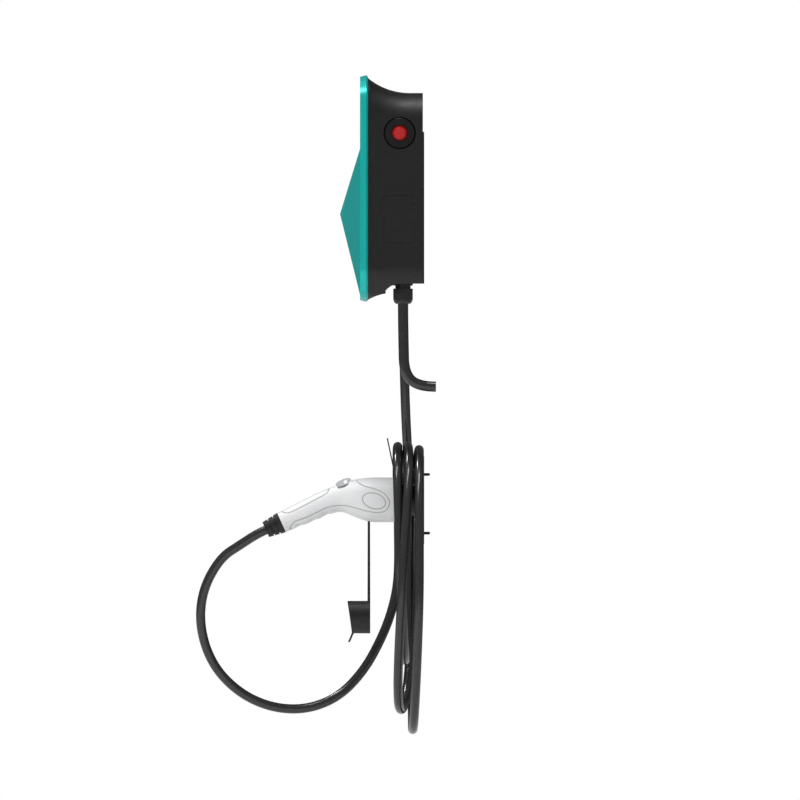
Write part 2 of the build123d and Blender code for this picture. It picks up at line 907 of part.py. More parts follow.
def make_earth_bar():
    """Brass bar on two feet with a row of screw holes."""
    half = earth_bar_length / 2
    rear = inner_rear - earth_bar_standoff
    section = Pos(rear - earth_bar_size / 2, earth_bar_z) * Rectangle(earth_bar_size, earth_bar_size)
    bar = along_x(earth_bar_x - half, earth_bar_x + half, section)
    for side in (-1, 1):
        place = Pos(earth_bar_x + side * (half - earth_bar_size / 2), earth_bar_z)
        bar += along_y(inner_rear, rear, place * Circle(earth_foot_radius))
    for index in range(earth_hole_count):
        step = index - (earth_hole_count - 1) / 2
        hole = Pos(earth_bar_x + step * earth_hole_pitch, earth_bar_z) * Circle(earth_hole_radius)
        bar -= along_y(rear, rear - earth_bar_size, hole)
    return bar


def make_current_sensor():
    """Ring that the charging conductors pass through, on a foot on the rear wall."""
    low = inner_floor + sensor_lift
    place = Pos(charge_gland_x, gland_y)
    left = charge_gland_x - sensor_bore_radius
    right = charge_gland_x + sensor_bore_radius
    sheet = place * Circle(sensor_ring_radius) + span(left, right, gland_y, inner_rear)
    return along_z(low, low + sensor_thickness, sheet - place * Circle(sensor_bore_radius))


# Cable glands


def chamfered_hexagon(low, high, across_flats, place):
    """Hexagonal block with its corners turned down at the lower end."""
    corner = across_flats / math.sqrt(3)
    cut = corner - across_flats / 2
    block = along_z(low, high, hexagon(across_flats))
    cone = Pos(0, 0, (low + high) / 2) * Cylinder(corner, high - low)
    cone = chamfer(cone.edges().group_by(Axis.Z)[0], cut * hexagon_turn)
    return place * (block & cone)


def gland_place(x):
    """The gland's axis on the floor of the housing."""
    return Pos(x, gland_y)


def gland_nut_top():
    """Height of the upper end of the dome nut."""
    return housing_bottom - gland_flange - gland_neck


def make_gland_body(x, cable_radius):
    """Gland body: hexagonal flange under the floor and a threaded neck on both sides."""
    place = gland_place(x)
    flange_low = housing_bottom - gland_flange
    body = chamfered_hexagon(flange_low, housing_bottom, gland_across_flats, place)
    neck_low = gland_nut_top() - gland_nut_height / 2
    body += along_z(neck_low, flange_low, place * Circle(gland_neck_radius))
    thread = place * Circle(gland_thread_radius)
    body += along_z(housing_bottom, inner_floor + gland_thread_length, thread)
    bore = place * Circle(cable_radius + gland_clearance)
    return body - along_z(neck_low, inner_floor + gland_thread_length, bore)


def make_gland_nut(x, cable_radius):
    """Dome nut: a long hexagon that ends in a rounded cone."""
    place = gland_place(x)
    high = gland_nut_top()
    low = high - gland_nut_height
    end = low - gland_dome
    middle = (gland_dome_mid_radius, low - gland_dome_mid_drop)
    nut = chamfered_hexagon(low, high, gland_across_flats, place)
    profile = [
        Line((0, low), (gland_waist_radius, low)),
        ThreePointArc((gland_waist_radius, low), middle, (gland_dome_radius, end)),
        Line((gland_dome_radius, end), (0, end)),
        Line((0, end), (0, low)),
    ]
    nut += place * revolve(Plane.XZ * make_face(profile), Axis.Z)
    inner = high - gland_nut_height / 2
    nut -= along_z(inner - gland_clearance, high, place * Circle(gland_neck_radius + running_gap))
    return nut - along_z(end, high, place * Circle(cable_radius + gland_seal_room))


def make_gland_seal(x, cable_radius):
    """Rubber sleeve squeezed between the neck's end and the dome nut, round the cable."""
    place = gland_place(x)
    high = gland_nut_top() - gland_nut_height / 2 - gland_clearance
    low = gland_nut_top() - gland_nut_height - gland_dome
    band = ring(cable_radius + gland_seal_room - running_gap, cable_radius + running_gap)
    return along_z(low, high, place * band)


def make_gland_locknut(x):
    """Flat hexagonal nut on the inside of the floor."""
    place = gland_place(x)
    sheet = place * (hexagon(gland_locknut_flats) - Circle(gland_thread_radius + running_gap))
    return along_z(inner_floor, inner_floor + gland_locknut, sheet)


# Cables


def corner_radii(points):
    """Arc radius at each corner: a share of the shorter run over the tangent of half the turn."""
    radii = []
    for before, here, after in zip(points, points[1:], points[2:]):
        run_in = Vector(*here) - Vector(*before)
        run_out = Vector(*after) - Vector(*here)
        half_turn = math.radians(run_in.get_angle(run_out)) / 2
        radii.append(arc_share * min(run_in.length, run_out.length) / math.tan(half_turn))
    return radii


def cable_tube(points, radius, name):
    """Round tube along straight runs joined by tangent arcs."""
    radii = corner_radii(points)
    path = FilletPolyline(*points, radius=radii)
    start = Plane(origin=path @ 0, z_dir=path % 0)
    tube = sweep(start * Circle(radius), path=path)
    share = tube.volume / (math.pi * radius**2 * path.length)
    print(name, "radii", [round(value) for value in radii])
    print(name, "length", round(path.length), "volume share", round(share, 4))
    return tube


# Each route starts at its gland. The points stand outside the bends that they make.
supply_route = [
    (supply_gland_x, gland_y, -119),
    (supply_gland_x, gland_y, -156),
    (supply_gland_x, -31, -204),
    (supply_gland_x, -30, -248),
    (supply_gland_x, -9.5, -268.2),
    (supply_gland_x, 17.7, -268.4),
]
drop_route = [
    (charge_gland_x, gland_y, -119),
    (charge_gland_x, gland_y, -170),
    (-81.5, -30, -238),
    (-88, -28, -305),
    (-99, -25, -365),
    (-115, -22, -422),
    (-129, -20.5, -478),
]
tail_route = [
    (-103, -38, -527),
    (-101, -40, -568),
    (-96, -49, -607),
    (-88, -64, -646),
    (-78, -90, -694),
    (-66, -128, -734),
    (-55, -177, -753),
    (-46, -230, -750),
    (-38, -279, -727),
    (-29, -318, -686),
    (-20, -337, -630),
    (-12, -333, -574),
    (-6, -306, -525),
    (-2, -275, -505),
    (0, -250, -488.5),
    (0, -226, -477.6),
]


def oval(half_width, top, bottom):
    """Ellipse between two heights, drawn in (X, Z)."""
    return Pos(0, (top + bottom) / 2) * Ellipse(half_width, (top - bottom) / 2)


def make_coil():
    """Outer shape of the hanging turns: an oval ring that opens wide over the saddle."""
    band = oval(coil_half_width, coil_top, coil_bottom)
    band -= oval(coil_inner_half_width, holder_z + saddle_radius, coil_inner_bottom)
    band -= Pos(0, holder_z) * Circle(saddle_radius + coil_clearance)
    coil = along_y(coil_rear, coil_front, band)
    wedge = Polyline(
        (coil_rear, coil_taper_top),
        (coil_rear - coil_taper, coil_bottom),
        (coil_rear + coil_taper, coil_bottom),
        close=True,
    )
    return coil - along_x(-coil_half_width, coil_half_width, make_face(wedge))


# Holder


def holder_disc(radius):
    """Circle on the plug's axis, drawn in (X, Z)."""
    return Pos(0, holder_z) * Circle(radius)


def holder_screw_places():
    """The two wall screws of the holder, in (X, Z)."""
    upper = holder_z + holder_screw_upper
    return [(0, upper), (0, upper - holder_screw_spacing)]


def make_holder_wall_plate():
    """Round steel plate on the wall, with a hole for each screw."""
    sheet = holder_disc(saddle_rear_radius - saddle_wall / 2)
    for x, z in holder_screw_places():
        sheet -= Pos(x, z) * Circle(holder_screw_radius + running_gap)
    return along_y(0, -holder_plate, sheet)


def arch(outer, inner):
    """Upper arc of a ring, ending at the saddle's angle on both sides."""
    reach = 2 * outer
    slope = math.tan(math.radians(saddle_angle))
    low = reach * slope
    wedge = Polyline((0, 0), (reach, low), (reach, reach), (-reach, reach), (-reach, low), close=True)
    return Pos(0, holder_z) * (ring(outer, inner) & make_face(wedge))


def make_saddle():
    """Half-round saddle for the turns: a lower rear groove and a slot for a tie."""
    inner = saddle_rear_radius - saddle_wall
    front = along_y(saddle_rear_front, holder_front, arch(saddle_radius, inner))
    rear = along_y(-holder_plate, saddle_rear_front, arch(saddle_rear_radius, inner))
    saddle = front + rear
    relief = arch(saddle_radius - saddle_wall, inner - saddle_wall)
    saddle -= along_y(saddle_slot_front - saddle_wall, holder_front, relief)
    slot = span(-saddle_radius, saddle_radius, holder_z + saddle_slot_height, holder_z + saddle_radius)
    return saddle - along_y(saddle_rear_front, saddle_slot_front, slot)


def make_front_plate():
    """Sheet that closes the saddle in front, open for the plug, with a lip leaning out above."""
    rear = holder_front
    front = holder_front - front_sheet
    tip = front - lip_sheet
    low = holder_z + front_plate_lower
    upper = span(-front_plate_radius, front_plate_radius, low, holder_z + front_plate_radius)
    sheet = holder_disc(front_plate_radius) & upper
    half = plug_half_width + coil_clearance
    sheet -= Pos(0, holder_z) * Ellipse(half, plug_half_height + coil_clearance)
    sheet -= span(-half, half, low, holder_z)
    for side in (-1, 1):
        sheet -= Pos(side * socket_ear_x, holder_z) * Circle(rivet_radius + running_gap)
    plate = along_y(rear, front, sheet)
    foot = holder_z + plug_half_height + lip_gap
    bend = holder_z + lip_bend
    profile = Polyline(
        (front, foot),
        (tip, foot),
        (tip, bend),
        (tip - lip_lean, bend + lip_rise),
        (front - lip_lean, bend + lip_rise),
        (front, bend),
        close=True,
    )
    return plate + along_x(-lip_width / 2, lip_width / 2, make_face(profile))


def make_socket():
    """Tube that the plug's nose sits in, with a flange behind the front plate and a catch slot."""
    flange = holder_disc(socket_flange_radius)
    ears = span(-socket_ear_x, socket_ear_x, holder_z - socket_ear_radius, holder_z + socket_ear_radius)
    flange += ears
    for side in (-1, 1):
        flange += Pos(side * socket_ear_x, holder_z) * Circle(socket_ear_radius)
    for side in (-1, 1):
        flange -= Pos(side * socket_ear_x, holder_z) * Circle(rivet_radius + running_gap)
    socket = along_y(holder_front + socket_flange, holder_front, flange)
    socket += along_y(-holder_plate, holder_front, holder_disc(socket_radius))
    socket -= along_y(-holder_plate, holder_front, holder_disc(socket_bore))
    half = latch_arm_width / 2 + latch_slot_clearance
    notch = span(-half, half, holder_z + socket_bore, holder_z + socket_flange_radius)
    socket -= along_y(holder_front + socket_flange, holder_front, notch)
    catch_rear = latch_tooth_y + latch_tooth_length + latch_slot_clearance
    return socket - along_y(catch_rear, latch_tooth_y - latch_slot_clearance, notch)


def make_rivets():
    """Rivets through the front plate and the socket's ears, flush in front."""
    rivets = []
    for side in (-1, 1):
        place = Pos(side * socket_ear_x, holder_z)
        front = holder_front - front_sheet
        rear = holder_front + socket_flange
        rivet = along_y(rear, front, place * Circle(rivet_radius))
        rivet += along_y(rear + rivet_head, rear, place * Circle(rivet_head_radius))
        rivets.append(rivet)
    return Compound(children=rivets)


def make_holder_screws():
    """Two screws through the wall plate, their points standing out behind it."""
    screws = []
    for x, z in holder_screw_places():
        place = Pos(x, z)
        front = -holder_plate - holder_screw_head
        head = along_y(-holder_plate, front, place * Circle(holder_screw_head_radius))
        head = fillet(head.edges().group_by(Axis.Y)[0], holder_screw_edge)
        rear = holder_screw_length - holder_plate
        shank = along_y(rear, -holder_plate, place * Circle(holder_screw_radius))
        shank = chamfer(shank.edges().group_by(Axis.Y)[-1], holder_screw_point)
        screws.append(head + shank)
    return Compound(children=screws)


# Plug. Each station is the distance of its centre in front of the wall, its height over the
# plug's axis, its tilt, and its half height and half width.
plug_stations = [
    (-49, 0, 0, 33.5, 30),
    (-74, 0, 0, 33.5, 30),
    (-80, 0.1, 0, 33.3, 29.8),
    (-93, 1.2, 0, 31, 28),
    (-111, 2.6, 3, 26, 24),
    (-126, 2, 10, 20.8, 20.5),
    (-145.5, -3.2, 20, 18.4, 18.4),
    (-174, -15.8, 24.5, 17.5, 17.4),
    (-201, -28.2, 24.5, 16, 16.2),
    (-214, -34.1, 24.5, 15.8, 16),
]


def plug_section(station, inset):
    """Ellipse across the plug's line at a station, moved inwards."""
    depth, height, tilt, half_height, half_width = station
    turn = math.radians(tilt)
    plane = Plane(
        origin=(0, depth, holder_z + height),
        x_dir=(1, 0, 0),
        z_dir=(0, -math.cos(turn), -math.sin(turn)),
    )
    return (plane * Ellipse(half_width - inset, half_height - inset)).face()


def plug_solid(stations, inset):
    """Straight oval behind the face, then a smooth skin over the other sections."""
    sections = [plug_section(station, inset) for station in stations]
    return loft(sections[:2]) + loft(sections[1:])


def pad_section(grow):
    """Leaning ellipse of the thumb pad, drawn in (Y, Z) and moved outwards."""
    sheet = Ellipse(pad_half_length + grow, pad_half_height + grow)
    return Pos(pad_y, holder_z + pad_z) * Rot(0, 0, pad_slope) * sheet


def turned_latch(angle, sheet):
    """A section of the latch turned about its pin."""
    centre = (latch_pivot_y, holder_z + latch_pivot_z)
    return Pos(*centre) * Rot(0, 0, angle) * Pos(-centre[0], -centre[1]) * sheet


def plug_body():
    """Hollow handle, with the thumb pad's notch, the cable's bore and the strap's slot."""
    outer = plug_solid(plug_stations, 0)
    inner = plug_solid(plug_stations[:-1], plug_wall)
    shell = outer - inner
    for angle in (0, latch_swing / 2, latch_swing):
        notch = turned_latch(angle, pad_section(pad_gap))
        shell -= along_x(-plug_half_width, plug_half_width, notch)
    shell -= cable_rod(charge_cable_radius + running_gap, plug_stations[-2], boot_length)
    half = strap_thickness / 2 + running_gap
    slot = Pos(0, strap_y) * Rectangle(strap_width + 2 * running_gap, 2 * half)
    shell -= along_z(holder_z - plug_half_height - plug_wall, holder_z, slot)
    boss = Pos(latch_pivot_y, holder_z + latch_pivot_z) * Circle(latch_hub_radius)
    clear = latch_arm_width / 2 + spring_turns * spring_pitch + 3 * latch_side_gap
    for side in (-1, 1):
        post = along_x(side * clear, side * plug_half_width, boss)
        shell += post & inner
    pin = Pos(latch_pivot_y, holder_z + latch_pivot_z) * Circle(latch_pin_radius + running_gap / 2)
    return shell - along_x(-latch_pin_half_length, latch_pin_half_length, pin)


def cable_rod(radius, station, length):
    """Rod on the handle's lower axis, from a station towards the cable."""
    depth, height, tilt = station[:3]
    turn = math.radians(tilt)
    direction = (0, -math.cos(turn), -math.sin(turn))
    plane = Plane(origin=(0, depth, holder_z + height), x_dir=(1, 0, 0), z_dir=direction)
    return extrude(plane * Circle(radius), length)


def make_plug_half(body, side):
    """One moulded half of the handle, split down its middle."""
    reach = 2 * plug_half_width
    half = span(0, side * reach, plug_face - 2 * plug_length, 0)
    block = along_z(holder_z - 3 * plug_half_height, holder_z + 2 * plug_half_height, half)
    return body & block


def make_plug_ring():
    """Oval ring at the plug's face, notched for the latch arm."""
    band = Pos(0, holder_z) * Ellipse(plug_half_width, plug_half_height)
    band -= holder_disc(nose_radius + running_gap)
    half = latch_arm_width / 2 + latch_slot_clearance
    top = latch_arm_low + latch_arm + latch_lift
    band -= span(-half, half, holder_z + nose_radius, holder_z + top)
    return along_y(plug_face, plug_face - plug_ring, band)


def make_plug_nose():
    """Round nose that enters the socket, with a flange inside the handle."""
    rear = plug_face - plug_ring
    nose = along_y(plug_face + nose_length, rear, holder_disc(nose_radius))
    nose = chamfer(nose.edges().group_by(Axis.Y)[-1], nose_edge)
    nose += along_y(rear, rear - nose_flange, holder_disc(nose_flange_radius) & nose_flange_cut())
    return nose - along_y(plug_face + nose_length, rear - nose_flange, holder_disc(nose_radius - nose_wall))


def nose_flange_cut():
    """Keeps the nose's flange under the latch arm."""
    reach = nose_flange_radius
    return span(-reach, reach, holder_z - reach, holder_z + latch_arm_low - coil_clearance)


def contact_places():
    """Centres of the five contacts, three above and two below, in (X, Z)."""
    upper = [(step * contact_spread, holder_z + contact_spread / 2) for step in (-1, 0, 1)]
    lower = [(step * contact_spread / 2, holder_z - contact_spread / 2) for step in (-1, 1)]
    return upper + lower


def make_contact_block():
    """Insulating disc inside the nose, bored for the contacts."""
    front = plug_face + nose_length - pin_block_set_back
    sheet = holder_disc(nose_radius - nose_wall - running_gap)
    for x, z in contact_places():
        sheet -= Pos(x, z) * Circle(contact_radius + running_gap)
    return along_y(front, front - pin_block_length, sheet)


def make_contacts():
    """Five contact tubes in the insulating disc."""
    front = plug_face + nose_length - pin_block_set_back
    tubes = []
    for x, z in contact_places():
        place = Pos(x, z)
        tube = along_y(front, front - pin_block_length, place * Circle(contact_radius))
        tubes.append(tube - along_y(front, front - pin_block_length / 2, place * Circle(contact_bore)))
    return Compound(children=tubes)


def make_latch():
    """Latch lever: oval thumb pad with an eye behind, hub in the middle, arm and tooth in front."""
    low = holder_z + latch_arm_low
    tooth_end = latch_tooth_y + latch_tooth_length
    profile = Polyline(
        (latch_pivot_y, low),
        (latch_tooth_y, low),
        (latch_tooth_y, holder_z + latch_tooth_low),
        (tooth_end - latch_tooth_slope, holder_z + latch_tooth_low),
        (tooth_end, low + latch_arm / 2),
        (tooth_end - latch_arm, low + latch_arm),
        (latch_pivot_y, low + latch_arm),
        (web_knee_y, holder_z + web_knee_high),
        (web_rear_y, holder_z + web_rear_high),
        (web_rear_y, holder_z + web_rear_low),
        (web_knee_y, holder_z + web_knee_low),
        close=True,
    )
    half = latch_arm_width / 2
    lever = along_x(-half, half, make_face(profile))
    hub = Pos(latch_pivot_y, holder_z + latch_pivot_z) * Circle(latch_hub_radius)
    far = half + spring_turns * spring_pitch + 2 * latch_side_gap
    lever += along_x(-far, half, hub)
    pad = along_x(-pad_half_width, pad_half_width, pad_section(0))
    pad = fillet(pad.edges().group_by(Axis.X)[0] + pad.edges().group_by(Axis.X)[-1], pad_edge)
    eye = Pos(pad_y + pad_eye_forward, holder_z + pad_z + pad_eye_up) * Circle(pad_eye_radius)
    pin = Pos(latch_pivot_y, holder_z + latch_pivot_z) * Circle(latch_pin_radius + running_gap / 2)
    return lever + pad - along_x(-far, half, pin) - along_x(-pad_half_width, pad_half_width, eye)


def make_latch_pin():
    """Pin across the handle on which the latch turns."""
    section = Pos(latch_pivot_y, holder_z + latch_pivot_z) * Circle(latch_pin_radius)
    return along_x(-latch_pin_half_length, latch_pin_half_length, section)


def make_latch_spring():
    """Torsion spring on the pin beside the lever: close turns, one leg up and one forward."""
    wire = spring_wire / 2
    major = latch_pin_radius + running_gap + wire
    start = latch_arm_width / 2 + latch_side_gap + wire
    axis = Location((0, latch_pivot_y, holder_z + latch_pivot_z))
    spring = None
    for turn in range(spring_turns):
        place = axis * Location((start + turn * spring_pitch, 0, 0), (0, 90, 0))
        coil = place * Torus(major, wire)
        spring = coil if spring is None else spring + coil
    end = start + (spring_turns - 1) * spring_pitch
    forward = Plane(origin=(start, latch_pivot_y, holder_z + latch_pivot_z - major), z_dir=(0, 1, 0))
    spring += extrude(forward * Circle(wire), spring_leg)
    back = Plane(origin=(end, latch_pivot_y, holder_z + latch_pivot_z - major), z_dir=(0, -1, 0))
    return spring + extrude(back * Circle(wire), spring_leg)


def boot_plane(distance):
    """Plane across the boot at a distance behind its front face."""
    depth, height, tilt = plug_stations[-1][:3]
    turn = math.radians(tilt)
    direction = Vector(0, -math.cos(turn), -math.sin(turn))
    origin = Vector(0, depth, holder_z + height) + direction * distance
    return Plane(origin=origin, x_dir=(1, 0, 0), z_dir=direction)


def make_boot():
    """Tapered rubber boot with grooves between its ribs, bored for the cable."""
    taper = (boot_front_radius - boot_rear_radius) / boot_length
    boot = loft([
        (boot_plane(0) * Circle(boot_front_radius)).face(),
        (boot_plane(boot_length) * Circle(boot_rear_radius)).face(),
    ])
    pitch = boot_length / boot_ribs
    for rib in range(1, boot_ribs):
        distance = rib * pitch
        radius = boot_front_radius - taper * distance
        band = ring(boot_front_radius + boot_groove, radius - boot_groove_depth)
        boot -= extrude(boot_plane(distance - boot_groove / 2) * band, boot_groove)
    return boot - extrude(boot_plane(0) * Circle(charge_cable_radius + running_gap), boot_length)


def make_dust_cap():
    """Rubber cap moulded with its strap: an open cup, a pull lip and a bar inside the plug."""
    rear = strap_y + strap_thickness / 2
    front = strap_y - strap_thickness / 2
    half = strap_width / 2
    strap = along_y(rear, front, span(-half, half, cap_z, holder_z + strap_top))
    disc = Pos(0, cap_z) * Circle(cap_radius)
    cup = along_y(rear, rear - cap_depth_top, disc)
    cup -= along_y(front, rear - cap_depth_top, Pos(0, cap_z) * Circle(cap_bore))
    mouth = Polyline(
        (rear - cap_depth_top, cap_z + cap_radius),
        (rear - cap_depth_bottom, cap_z - cap_radius),
        (rear - cap_depth_top - cap_radius, cap_z - cap_radius),
        close=True,
    )
    cup -= along_x(-cap_radius, cap_radius, make_face(mouth))
    lean = math.radians(cap_lip_angle)
    root_y = rear - cap_depth_bottom
    root_z = cap_z - cap_radius
    tip_y = root_y - cap_lip_length * math.sin(lean)
    tip_z = root_z - cap_lip_length * math.cos(lean)
    lip = Polyline(
        (root_y + cap_lip_thickness, root_z + cap_lip_thickness / 2),
        (root_y, root_z + cap_lip_thickness / 2),
        (tip_y, tip_z),
        (tip_y + cap_lip_thickness, tip_z),
        close=True,
    )
    cup += along_x(-cap_lip_width / 2, cap_lip_width / 2, make_face(lip))
    top = holder_z + strap_top
    bar_half = strap_bar_width / 2
    depth_half = strap_bar_depth / 2
    bar = span(-bar_half, bar_half, strap_y - depth_half, strap_y + depth_half)
    return strap + cup + along_z(top - strap_bar_height, top, bar)


plug = plug_body()
pieces = {
    "front_cover": make_front_cover(),
    "cover_gasket": make_gasket(),
    "cover_screws": make_cover_screws(),
    "housing": make_housing(),
    "back_plate": make_back_plate(),
    "stop_button_collar": make_button_collar(),
    "stop_button_cap": make_button_cap(),
    "stop_button_nut": make_button_nut(),
    "stop_button_contact_block": make_button_block(),
    "breaker_flap": make_flap(),
    "flap_hinge_pin": hinge_bore(hinge_pin_overhang, hinge_pin_radius),
    "rail_bracket": make_rail_bracket(),
    "din_rail": make_din_rail(),
    "breaker": make_breaker(),
    "breaker_lever": make_breaker_lever(),
    "control_board": make_control_board(),
    "board_standoffs": make_board_standoffs(),
    "contactor": make_contactor(),
    "terminal_rail": make_terminal_rail(),
    "supply_terminals": make_terminals(),
    "earth_bar": make_earth_bar(),
    "current_sensor": make_current_sensor(),
    "supply_cable": cable_tube(supply_route, supply_cable_radius, "supply cable"),
    "charge_cable_drop": cable_tube(drop_route, charge_cable_radius, "drop"),
    "charge_cable_coil": make_coil(),
    "charge_cable_tail": cable_tube(tail_route, charge_cable_radius, "tail"),
    "holder_wall_plate": make_holder_wall_plate(),
    "holder_saddle": make_saddle(),
    "holder_front_plate": make_front_plate(),
    "holder_socket": make_socket(),
    "holder_rivets": make_rivets(),
    "holder_wall_screws": make_holder_screws(),
    "plug_shell_right": make_plug_half(plug, 1),
    "plug_shell_left": make_plug_half(plug, -1),
    "plug_face_ring": make_plug_ring(),
    "plug_nose": make_plug_nose(),
    "plug_contact_block": make_contact_block(),
    "plug_contacts": make_contacts(),
    "plug_latch": make_latch(),
    "plug_latch_pin": make_latch_pin(),
    "plug_latch_spring": make_latch_spring(),
    "plug_boot": make_boot(),
    "dust_cap": make_dust_cap(),
}
for side, x, cable_radius in (
    ("supply", supply_gland_x, supply_cable_radius),
    ("charge", charge_gland_x, charge_cable_radius),
):
    pieces[f"{side}_gland_body"] = make_gland_body(x, cable_radius)
    pieces[f"{side}_gland_nut"] = make_gland_nut(x, cable_radius)
    pieces[f"{side}_gland_seal"] = make_gland_seal(x, cable_radius)
    pieces[f"{side}_gland_locknut"] = make_gland_locknut(x)

for name, piece in pieces.items():
    save(name, piece)
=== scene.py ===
import math

import bpy
import numpy as np
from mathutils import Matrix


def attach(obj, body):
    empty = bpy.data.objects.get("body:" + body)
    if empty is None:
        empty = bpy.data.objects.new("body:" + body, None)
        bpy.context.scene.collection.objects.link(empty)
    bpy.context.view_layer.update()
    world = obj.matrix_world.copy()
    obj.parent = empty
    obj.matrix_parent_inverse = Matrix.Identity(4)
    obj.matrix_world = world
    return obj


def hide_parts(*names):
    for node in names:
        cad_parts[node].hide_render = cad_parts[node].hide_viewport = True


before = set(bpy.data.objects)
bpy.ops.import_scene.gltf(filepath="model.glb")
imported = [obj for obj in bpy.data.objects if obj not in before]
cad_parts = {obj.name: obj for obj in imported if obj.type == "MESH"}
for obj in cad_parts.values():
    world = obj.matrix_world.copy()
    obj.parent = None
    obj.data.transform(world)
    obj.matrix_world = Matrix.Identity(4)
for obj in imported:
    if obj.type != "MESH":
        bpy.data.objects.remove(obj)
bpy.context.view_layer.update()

# Real sizes in metres, in the frame of the wall box: Z up, the wall at Y = 0, the front towards -Y
MM = 0.001
charge_cable_radius = 7 * MM
supply_cable_radius = 7.8 * MM
plug_axis_height = -438 * MM
saddle_radius = 74 * MM
groove_radius = 68 * MM


# Camera, light and surroundings

# Side of the square picture, and where the camera stands
picture_size = 1.2
camera_place = (3.0, -0.0363, -0.2883)


def make_camera():
    """Level camera on the right of the box, square to its side."""
    data = bpy.data.cameras.new("side_camera")
    data.type = "ORTHO"
    data.ortho_scale = picture_size
    camera = bpy.data.objects.new("side_camera", data)
    camera.location = camera_place
    camera.rotation_euler = (math.pi / 2, 0, math.pi / 2)
    bpy.context.scene.collection.objects.link(camera)
    bpy.context.scene.camera = camera


def make_lamp(name, place, target, size, watts, mirrored=False):
    """Square soft lamp at a place, turned to a target; gloss shows it only where it is mirrored."""
    data = bpy.data.lights.new(name, "AREA")
    data.shape = "SQUARE"
    data.size = size
    data.energy = watts
    lamp = bpy.data.objects.new(name, data)
    lamp.location = place
    lamp.visible_glossy = mirrored
    aim = np.array(target) - np.array(place)
    flat = math.hypot(aim[0], aim[1])
    lamp.rotation_euler = (math.atan2(flat, -aim[2]), 0, math.atan2(aim[1], aim[0]) - math.pi / 2)
    bpy.context.scene.collection.objects.link(lamp)


# What gloss shows: pairs of a place, from behind the object (0) through beside it (0.5) to the
# camera's side (1), and the level of white there
gloss_levels = [(0.0, 0.14), (0.14, 0.1), (0.26, 0.02), (0.4, 0.24), (0.65, 0.3), (1.0, 0.3)]
# The low panel fades in between two downward directions (-1 is straight down) to its own level
low_panel_edge = -0.3
low_panel_full = -0.9
low_panel_level = 0.9
# Level of the light that falls on the object from all round
room_level = 0.42


def make_world():
    """White surroundings for the eye; what gloss shows depends on the direction it comes from.

    From beside the object round to the camera's side there is a broad soft panel, a dark band
    stands slantwise behind it, straight behind it is dim, and a low panel shines from under it.
    """
    world = bpy.data.worlds.new("white_room")
    bpy.context.scene.world = world
    world.use_nodes = True
    tree = world.node_tree
    tree.nodes.clear()
    rays = add_node(tree, "ShaderNodeLightPath")
    seen = add_node(tree, "ShaderNodeMath", {"operation": "MAXIMUM"},
                    {0: rays.outputs["Is Camera Ray"], 1: rays.outputs["Is Transmission Ray"]})
    direction = add_node(tree, "ShaderNodeTexCoord").outputs["Generated"]
    part = add_node(tree, "ShaderNodeSeparateXYZ", links={0: direction})
    share = add_node(tree, "ShaderNodeMapRange", {"From Min": -1.0, "From Max": 1.0},
                     {"Value": part.outputs["X"]})
    panels = add_node(tree, "ShaderNodeValToRGB", links={"Fac": share.outputs["Result"]})
    stops = panels.color_ramp.elements
    for place, level in gloss_levels[1:-1]:
        stops.new(place)
    for stop, (place, level) in zip(stops, gloss_levels):
        stop.position = place
        stop.color = (level, level, level, 1)
    below = add_node(tree, "ShaderNodeMapRange", {
        "interpolation_type": "SMOOTHSTEP", "From Min": low_panel_edge, "From Max": low_panel_full,
        "To Min": 0.0, "To Max": low_panel_level}, {"Value": part.outputs["Z"]})
    mirrored = add_node(tree, "ShaderNodeMath", {"operation": "ADD"},
                        {0: panels.outputs["Color"], 1: below.outputs["Result"]})
    level = add_node(tree, "ShaderNodeMix", {"data_type": "FLOAT", "A": room_level},
                     {"Factor": rays.outputs["Is Glossy Ray"], "B": mirrored.outputs[0]})
    strength = add_node(tree, "ShaderNodeMath", {"operation": "MAXIMUM"},
                        {0: seen.outputs[0], 1: level.outputs["Result"]})
    back = add_node(tree, "ShaderNodeBackground", {"Color": (1, 1, 1, 1)},
                    {"Strength": strength.outputs[0]})
    add_node(tree, "ShaderNodeOutputWorld", links={"Surface": back.outputs[0]})


def make_floor():
    """Pale floor well under the lowest turn of the cable."""
    half = 6.0
    height = -0.95
    corners = [(-half, -half, height), (half, -half, height),
               (half, half, height), (-half, half, height)]
    mesh = bpy.data.meshes.new("pale_floor")
    mesh.from_pydata(corners, [], [(0, 1, 2, 3)])
    floor = bpy.data.objects.new("pale_floor", mesh)
    bpy.context.scene.collection.objects.link(floor)
    floor.data.materials.append(painted_floor())


# Materials

# Share of a noise's range over which a colour or a roughness goes from its first value to its second
colour_fade = (0.35, 0.65)
roughness_fade = (0.3, 0.7)
# White that the floor's paint gives off, to the camera alone
floor_lift = 0.5


def linear(hex_colour):
    """sRGB hex value as linear red, green, blue and full alpha."""
    parts = [int(hex_colour[i:i + 2], 16) / 255 for i in (1, 3, 5)]
    return tuple(p / 12.92 if p <= 0.04045 else ((p + 0.055) / 1.055) ** 2.4 for p in parts) + (1.0,)


def add_node(tree, kind, settings=None, links=None):
    """Adds one node, with its settings (properties or inputs) and the outputs that feed its inputs."""
    node = tree.nodes.new(kind)
    for name, value in (settings or {}).items():
        if isinstance(name, int) or name in node.inputs:
            node.inputs[name].default_value = value
        else:
            setattr(node, name, value)
    for name, source in (links or {}).items():
        tree.links.new(source, node.inputs[name])
    return node


